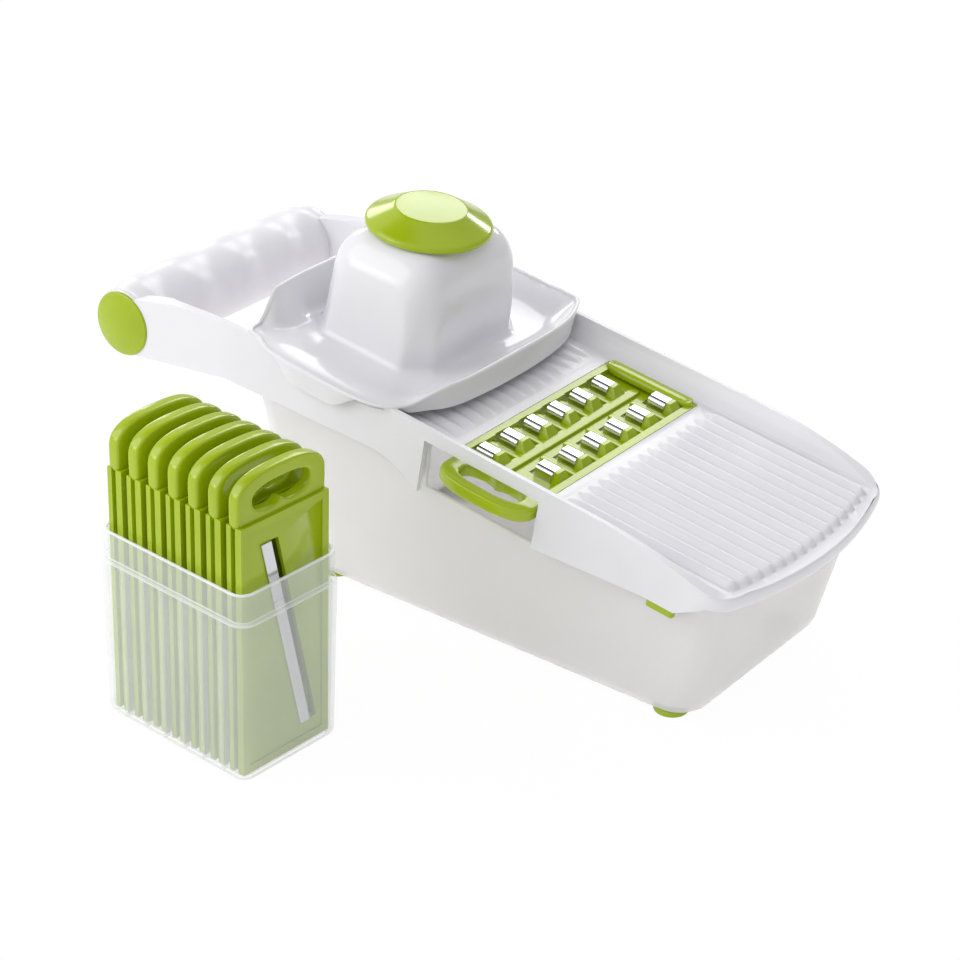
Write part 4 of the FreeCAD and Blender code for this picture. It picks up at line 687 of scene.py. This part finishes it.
def make_grater():
    """Grater insert: the moulded frame with a rounded loop and fence, and its twelve bent hoods."""
    low = np.array(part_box("grater_frame")[0]) / MM
    near = low[1] + LOOP_LENGTH
    base = KNOB_FOOT + INSERT_AHEAD * DECK_U
    base = base + (near - base[1]) * DECK_V
    loop = placed(loop_points(), base, DECK_U, -DECK_V, DECK_W)
    cut = ((0, (near - CUT_MARGIN) * MM, 0), (0, -1, 0))
    softened("grater_frame", "grater", "green_plastic", FRAME_ROUND, cut=cut,
             grids=[(loop, True, True)] + grater_bars())
    shape = bmesh.new()
    for row, first in HOOD_ROWS:
        for number in range(HOODS_IN_ROW):
            add_hood(shape, row, first + HOOD_PITCH * number)
    finish_piece(new_piece("bent_hoods", shape), "stainless_steel", "grater", ["grater_teeth"])


def make_spare(name):
    """A spare insert, upright in the case: its frame with a rounded loop, and its cutter."""
    low, high = [np.array(corner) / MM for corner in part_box(name + "_frame")]
    ahead = np.array([math.cos(CASE_YAW), math.sin(CASE_YAW), 0])
    across = (-math.sin(CASE_YAW), math.cos(CASE_YAW), 0)
    end = high[2] - LOOP_LENGTH
    base = np.array([(low[0] + high[0]) / 2, (low[1] + high[1]) / 2, end]) + INSERT_THICKNESS / 2 * ahead
    loop = placed(loop_points(), base, across, (0, 0, 1), ahead)
    cut = ((0, 0, (end + CUT_MARGIN) * MM), (0, 0, 1))
    softened(name + "_frame", name, "green_plastic", FRAME_ROUND, cut=cut, grids=[(loop, True, True)])
    cutter = "_sheet" if name.endswith("grater") else "_blade"
    softened(name + cutter, name, "stainless_steel", STEEL_ROUND, segments=1)


# Slicer board

def rib_points(start, end, bow, first, last, rise):
    """Part of the deck as a sheet of rounded ribs, a cosine across it. They grow to a height over a
    first length, fade over a last length, and end on a bowed line."""
    half = RIB_PITCH * RIB_COUNT / 2
    v = np.linspace(-half, half, RIB_COUNT * RIB_COLUMNS + 1)[None, :]
    finish = end - bow * (v / half) ** 2
    u = start + np.linspace(0, 1, RIB_ROWS)[:, None] * (finish - start)
    ridge = 0.5 + 0.5 * np.cos(FULL_TURN * v / RIB_PITCH)
    fade = smooth_step(u, start, start + first) * smooth_step(finish - u, 0, last)
    height = rise * fade * ridge ** (RIB_FULLNESS + RIB_SHARPENING * (1 - fade)) + RIB_LIFT
    return from_deck(INSERT_AHEAD + u, v + 0 * u, height)


def nose_points():
    """Rounded nose along the front edge of the board: half an ellipse carried round one corner, along
    a shallow parabola and round the other corner, and thinned towards its ends."""
    bend = np.linspace(-QUARTER, -NOSE_TURN, NOSE_CORNER_POINTS)
    middle = NOSE_HALF - NOSE_CORNER
    corner_u = NOSE_SIDE + NOSE_CORNER * np.cos(bend)
    corner_v = -middle + NOSE_CORNER * np.sin(bend)
    v = np.linspace(corner_v[-1], -corner_v[-1], NOSE_BOW_POINTS)[1:-1]
    bow = NOSE_MIDDLE_EDGE - corner_u[-1]
    u = NOSE_MIDDLE_EDGE - bow * (v / corner_v[-1]) ** 2
    u = np.concatenate([corner_u, u, corner_u[::-1]])
    v = np.concatenate([corner_v, v, -corner_v[::-1]])
    along_u, along_v = np.gradient(u), np.gradient(v)
    length = np.hypot(along_u, along_v)
    turn = np.linspace(-QUARTER, QUARTER, NOSE_SECTION)[None, :]
    step = np.arange(len(u))[:, None]
    out = NOSE_OUT * np.cos(turn) * smooth_step(np.minimum(step, len(u) - 1 - step), 0, NOSE_FADE)
    return from_deck(INSERT_AHEAD + u[:, None] + out * (along_v / length)[:, None],
                     v[:, None] - out * (along_u / length)[:, None],
                     NOSE_MIDDLE + NOSE_RISE * np.sin(turn) + 0 * u[:, None])


def grip_points():
    """Round grip with four shallow dips for the fingers in its upper front: a cosine along it times a
    bell curve of the angle. It thins towards its ends, which are closed."""
    v = np.linspace(-GRIP_HALF, GRIP_HALF, GRIP_ROWS)[:, None]
    v = np.concatenate([v[:1], v, v[-1:]])
    turn = np.linspace(-math.pi, math.pi, GRIP_SECTION, endpoint=False)[None, :]
    along = 0.5 - 0.5 * np.cos(FULL_TURN * v / DIP_PITCH)
    dip = along * np.exp(-((turn - DIP_TURN) / DIP_SPREAD) ** 2)
    end = smooth_step(np.abs(v), GRIP_HALF - GRIP_END_RUN, GRIP_HALF)
    radius = GRIP_RADIUS - DIP_DEPTH * dip
    radius = radius + (GRIP_END - radius) * end
    radius[0] = radius[-1] = 0
    level = GRIP_LEVEL + (GRIP_END_LEVEL - GRIP_LEVEL) * end
    return from_deck(radius * np.cos(turn) - GRIP_BEHIND, v + 0 * turn, level + radius * np.sin(turn))


def make_board():
    """Slicer board with its ribs, nose and grip. Edges of the deck stay as they are, and all others are
    rounded."""
    def share(middle):
        away = np.array(middle) - KNOB_FOOT
        on_deck = abs(away @ DECK_V) < DECK_HALF and abs(away @ DECK_W) < DECK_SKIN
        return 0.0 if on_deck else 1.0

    front_ribs = rib_points(RIB_START, RIB_END, RIB_BOW, RIB_TAPER, RIB_STOP, RIB_HEIGHT)
    rear_ribs = rib_points(REAR_RIB_START, REAR_RIB_END, 0, RIB_TAPER, RIB_TAPER, REAR_RIB_HEIGHT)
    softened("slicer_board", "board", "white_plastic", BOARD_ROUND, material="white_satin", share=share,
             grids=[(front_ribs, False, False), (rear_ribs, False, False), (nose_points(), False, False),
                    (grip_points(), False, True)])


def make_cap(side, out):
    """Green cap on one end of the grip: a parabola with a rounded edge, carried round the grip's axis."""
    node = "handle_cap_" + side
    low, high = [np.array(corner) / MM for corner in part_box(node)]
    middle = (low + high) / 2
    face = (low[1] if out < 0 else high[1]) - out * CAP_DOME
    outer = (high[2] - low[2]) / 2 + CAP_EXTRA
    flat = outer - CAP_EDGE
    t = np.linspace(0, 1, CAP_ROWS)
    bend = np.linspace(0, QUARTER, CAP_EDGE_ROWS)[1:]
    radius = np.concatenate([flat * t, flat + CAP_EDGE * np.sin(bend), [outer, 0]])[:, None]
    height = np.concatenate([CAP_EDGE + (CAP_DOME - CAP_EDGE) * (1 - t * t), CAP_EDGE * np.cos(bend),
                             [CAP_BASE, CAP_BASE]])[:, None]
    turn = all_round(CAP_AROUND)
    points = np.stack([middle[0] + radius * np.cos(turn), face + out * height + 0 * turn,
                       middle[2] + radius * np.sin(turn)], -1)
    piece = round_grid(node + "_finish", points * MM, joined=False)
    finish_piece(piece, "green_plastic", "board", [node])


# Storage case

def rounded_box(half_length, half_width, radius):
    """Outline of a rectangle with rounded corners: four quarter circles, joined by straight sides."""
    quarter = np.repeat(np.arange(4), CASE_CORNER_POINTS)
    turn = np.tile(np.linspace(0, QUARTER, CASE_CORNER_POINTS), 4) + quarter * QUARTER
    side_x = np.where(quarter % 3 == 0, 1, -1)
    side_y = np.where(quarter < 2, 1, -1)
    return (side_x * (half_length - radius) + radius * np.cos(turn),
            side_y * (half_width - radius) + radius * np.sin(turn))


def make_case():
    """Storage case: a thin shell with rounded corners, a ledge below its rim, and dividing ribs. The
    shell is a rounded rectangle carried up the outside, over the rim and down the inside, drawn in by
    an inset at each height and closed in the middle of its floor."""
    low, high = [np.array(corner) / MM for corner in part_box("storage_case")]
    middle = (low + high) / 2
    cos, sin = math.cos(CASE_YAW), math.sin(CASE_YAW)
    spread = np.array([[cos, abs(sin)], [abs(sin), cos]])
    half = np.linalg.solve(spread, (high - low)[:2] / 2 - CASE_CORNER) + CASE_CORNER

    def turned(x, y, height):
        return np.stack([middle[0] + cos * x - sin * y + 0 * height,
                         middle[1] + sin * x + cos * y + 0 * height, height + 0 * x], -1) * MM

    bend = np.linspace(0, QUARTER, CASE_ROUND_ROWS)
    over = np.linspace(0, math.pi, CASE_RIM_ROWS)
    rim = CASE_WALL / 2
    inner_foot, inner_round = CASE_LEAN + CASE_WALL, CASE_ROUND - CASE_WALL
    inset = np.concatenate([
        [CASE_LEAN + CASE_ROUND], CASE_LEAN + CASE_ROUND * (1 - np.sin(bend)),
        [0, LEDGE_INSET, CASE_RIM_INSET], CASE_RIM_INSET + rim * (1 - np.cos(over)),
        [CASE_RIM_INSET + CASE_WALL, CASE_WALL], inner_foot + inner_round * (1 - np.sin(bend[::-1])),
        [inner_foot + inner_round]])[:, None]
    height = np.concatenate([
        [0], CASE_ROUND * (1 - np.cos(bend)),
        [CASE_LEDGE - LEDGE_FOOT, CASE_LEDGE, CASE_LEDGE + LEDGE_TOP], CASE_RIM - rim + rim * np.sin(over),
        [CASE_LEDGE, CASE_LEDGE - LEDGE_INNER_DROP], CASE_FLOOR + inner_round * (1 - np.cos(bend[::-1])),
        [CASE_FLOOR]])[:, None]
    x, y = rounded_box(half[0] - inset, half[1] - inset, np.maximum(CASE_CORNER - inset, CASE_CORNER_LEAST))
    x[[0, -1]] = y[[0, -1]] = 0
    shape = bmesh.new()
    add_grid(shape, turned(x, y, height))
    levels = np.array([CASE_FLOOR, CASE_FLOOR, DIVIDER_TOP, DIVIDER_TOP])[:, None]
    for number in range(DIVIDERS):
        for side in (-1, 1):
            x = (number - (DIVIDERS - 1) / 2) * DIVIDER_PITCH + DIVIDER_HALF * np.array([-1, 1, 1, -1])
            y = side * (half[1] - CASE_WALL - DIVIDER_DEPTH * np.array([0, 0, 1, 1]))
            rows = turned(x, y, levels)
            rows[[0, -1]] = rows[[0, -1]].mean(axis=1, keepdims=True)
            add_grid(shape, rows)
    piece = new_piece("case_shell", shape, CASE_CREASE)
    finish_piece(piece, "frosted_plastic", "case", ["storage_case"], "frosted_case")


def make_pieces():
    """Every node of the set with its finish."""
    make_board()
    for side, out in (("right", -1), ("left", 1)):
        make_cap(side, out)
        softened("board_pad_" + side, "board", "green_rubber", PAD_ROUND)
        for end in ("front", "rear"):
            softened("foot_%s_%s" % (end, side), "container", "green_rubber", FOOT_ROUND)
    make_grater()
    make_guard()
    make_knob()
    softened("pusher_plate", "pusher", "white_plastic", PLATE_ROUND)
    softened("food_pins", "pusher", "stainless_steel", STEEL_ROUND)
    softened("catch_container", "container", "frosted_plastic", TUB_ROUND)
    make_case()
    for name in SPARES:
        make_spare(name)


# Stage, light and camera

def make_floor():
    """A white floor that shows as the white page of the photo and keeps a soft shadow."""
    mesh = bpy.data.meshes.new("floor")
    corners = [(-1, -1), (1, -1), (1, 1), (-1, 1)]
    mesh.from_pydata([(x * FLOOR_HALF, y * FLOOR_HALF, 0) for x, y in corners], [], [(0, 1, 2, 3)])
    floor = bpy.data.objects.new("floor", mesh)
    bpy.context.scene.collection.objects.link(floor)
    material, tree = new_material("white_paper_floor")
    path = add(tree, "ShaderNodeLightPath").outputs
    seen = path["Is Camera Ray"]
    for ray in ("Is Glossy Ray", "Is Transmission Ray"):
        seen = add(tree, "ShaderNodeMath", {0: seen, 1: path[ray]}, operation="MAXIMUM").outputs[0]
    share = add(tree, "ShaderNodeMapRange", span(seen, 0.0, PAGE_SHARE, 0.0, 1.0))
    paper = add(tree, "ShaderNodeBsdfDiffuse", {"Color": linear("#EAEAEA")})
    page = add(tree, "ShaderNodeEmission", {"Color": linear("#FFFFFF"), "Strength": 1.0})
    bounce = add(tree, "ShaderNodeEmission", {"Color": linear("#FFFFFF"), "Strength": PAGE_GLOW})
    lit = add(tree, "ShaderNodeAddShader", {0: paper.outputs[0], 1: bounce.outputs[0]})
    mix = add(tree, "ShaderNodeMixShader", {
        0: share.outputs["Result"], 1: lit.outputs[0], 2: page.outputs[0]})
    add(tree, "ShaderNodeOutputMaterial", {"Surface": mix.outputs[0]})
    mesh.materials.append(material)


def make_world():
    """A studio whose sky is brightest overhead and to the rear right, and dims towards the floor and
    the front left. A dark flag hangs over the rear left, and the camera sees a white page."""
    world = bpy.data.worlds.new("studio")
    bpy.context.scene.world = world
    world.use_nodes = True
    tree = world.node_tree
    tree.nodes.clear()
    seen = add(tree, "ShaderNodeLightPath").outputs["Is Camera Ray"]
    way = add(tree, "ShaderNodeTexCoord").outputs["Generated"]
    side = add(tree, "ShaderNodeVectorMath", {0: way, 1: FILL_SIDE}, operation="DOT_PRODUCT")
    flag = add(tree, "ShaderNodeVectorMath", {0: way, 1: FLAG_SIDE}, operation="DOT_PRODUCT")
    fill = add(tree, "ShaderNodeMapRange", span(side.outputs["Value"], FILL_DIM, FILL_BRIGHT,
                                                FILL_FROM, FILL_TO))
    shade = add(tree, "ShaderNodeMapRange", span(flag.outputs["Value"], 1.0, FLAG_LEVEL,
                                                 FLAG_EDGE, FLAG_INSIDE))
    sky = add(tree, "ShaderNodeMath", {0: fill.outputs["Result"], 1: shade.outputs["Result"]},
              operation="MULTIPLY")
    level = add(tree, "ShaderNodeMath", {0: sky.outputs[0], 1: seen}, operation="MAXIMUM")
    light = add(tree, "ShaderNodeBackground", {
        "Color": linear("#FFFFFF"), "Strength": level.outputs[0]})
    add(tree, "ShaderNodeOutputWorld", {"Surface": light.outputs[0]})


def make_lamp(name, place, target, side, watts):
    """A square soft box aimed at a point of the set."""
    lamp = bpy.data.lights.new(name, "AREA")
    lamp.shape = "SQUARE"
    lamp.size = side
    lamp.energy = watts
    item = bpy.data.objects.new(name, lamp)
    bpy.context.scene.collection.objects.link(item)
    item.location = place
    item.rotation_euler = (Vector(target) - Vector(place)).to_track_quat("-Z", "Y").to_euler()


def make_camera():
    """The photo's camera, turned by the photo's small roll."""
    azimuth, elevation = math.radians(CAMERA_AZIMUTH), math.radians(CAMERA_ELEVATION)
    roll = math.radians(CAMERA_ROLL)
    ahead = Vector((-math.sin(azimuth) * math.cos(elevation),
                    math.cos(azimuth) * math.cos(elevation), -math.sin(elevation)))
    right = Vector((math.cos(azimuth), math.sin(azimuth), 0))
    up = right.cross(ahead)
    right, up = (right * math.cos(roll) + up * math.sin(roll),
                 up * math.cos(roll) - right * math.sin(roll))
    camera = bpy.data.cameras.new("photo_camera")
    camera.sensor_width = SENSOR
    camera.sensor_fit = "HORIZONTAL"
    camera.lens = SENSOR * CAMERA_FOCAL_PIXELS / PHOTO_SIDE
    item = bpy.data.objects.new("photo_camera", camera)
    bpy.context.scene.collection.objects.link(item)
    place = (Vector(CAMERA_TARGET) - ahead * CAMERA_DISTANCE) * MM
    turned = Matrix((right, up, -ahead)).transposed().to_4x4()
    item.matrix_world = Matrix.Translation(place) @ turned
    bpy.context.scene.camera = item


make_pieces()
make_floor()
make_world()
for lamp_name, setting in LAMPS.items():
    make_lamp(lamp_name, *setting)
make_camera()
bpy.context.scene.view_settings.view_transform = "Standard"
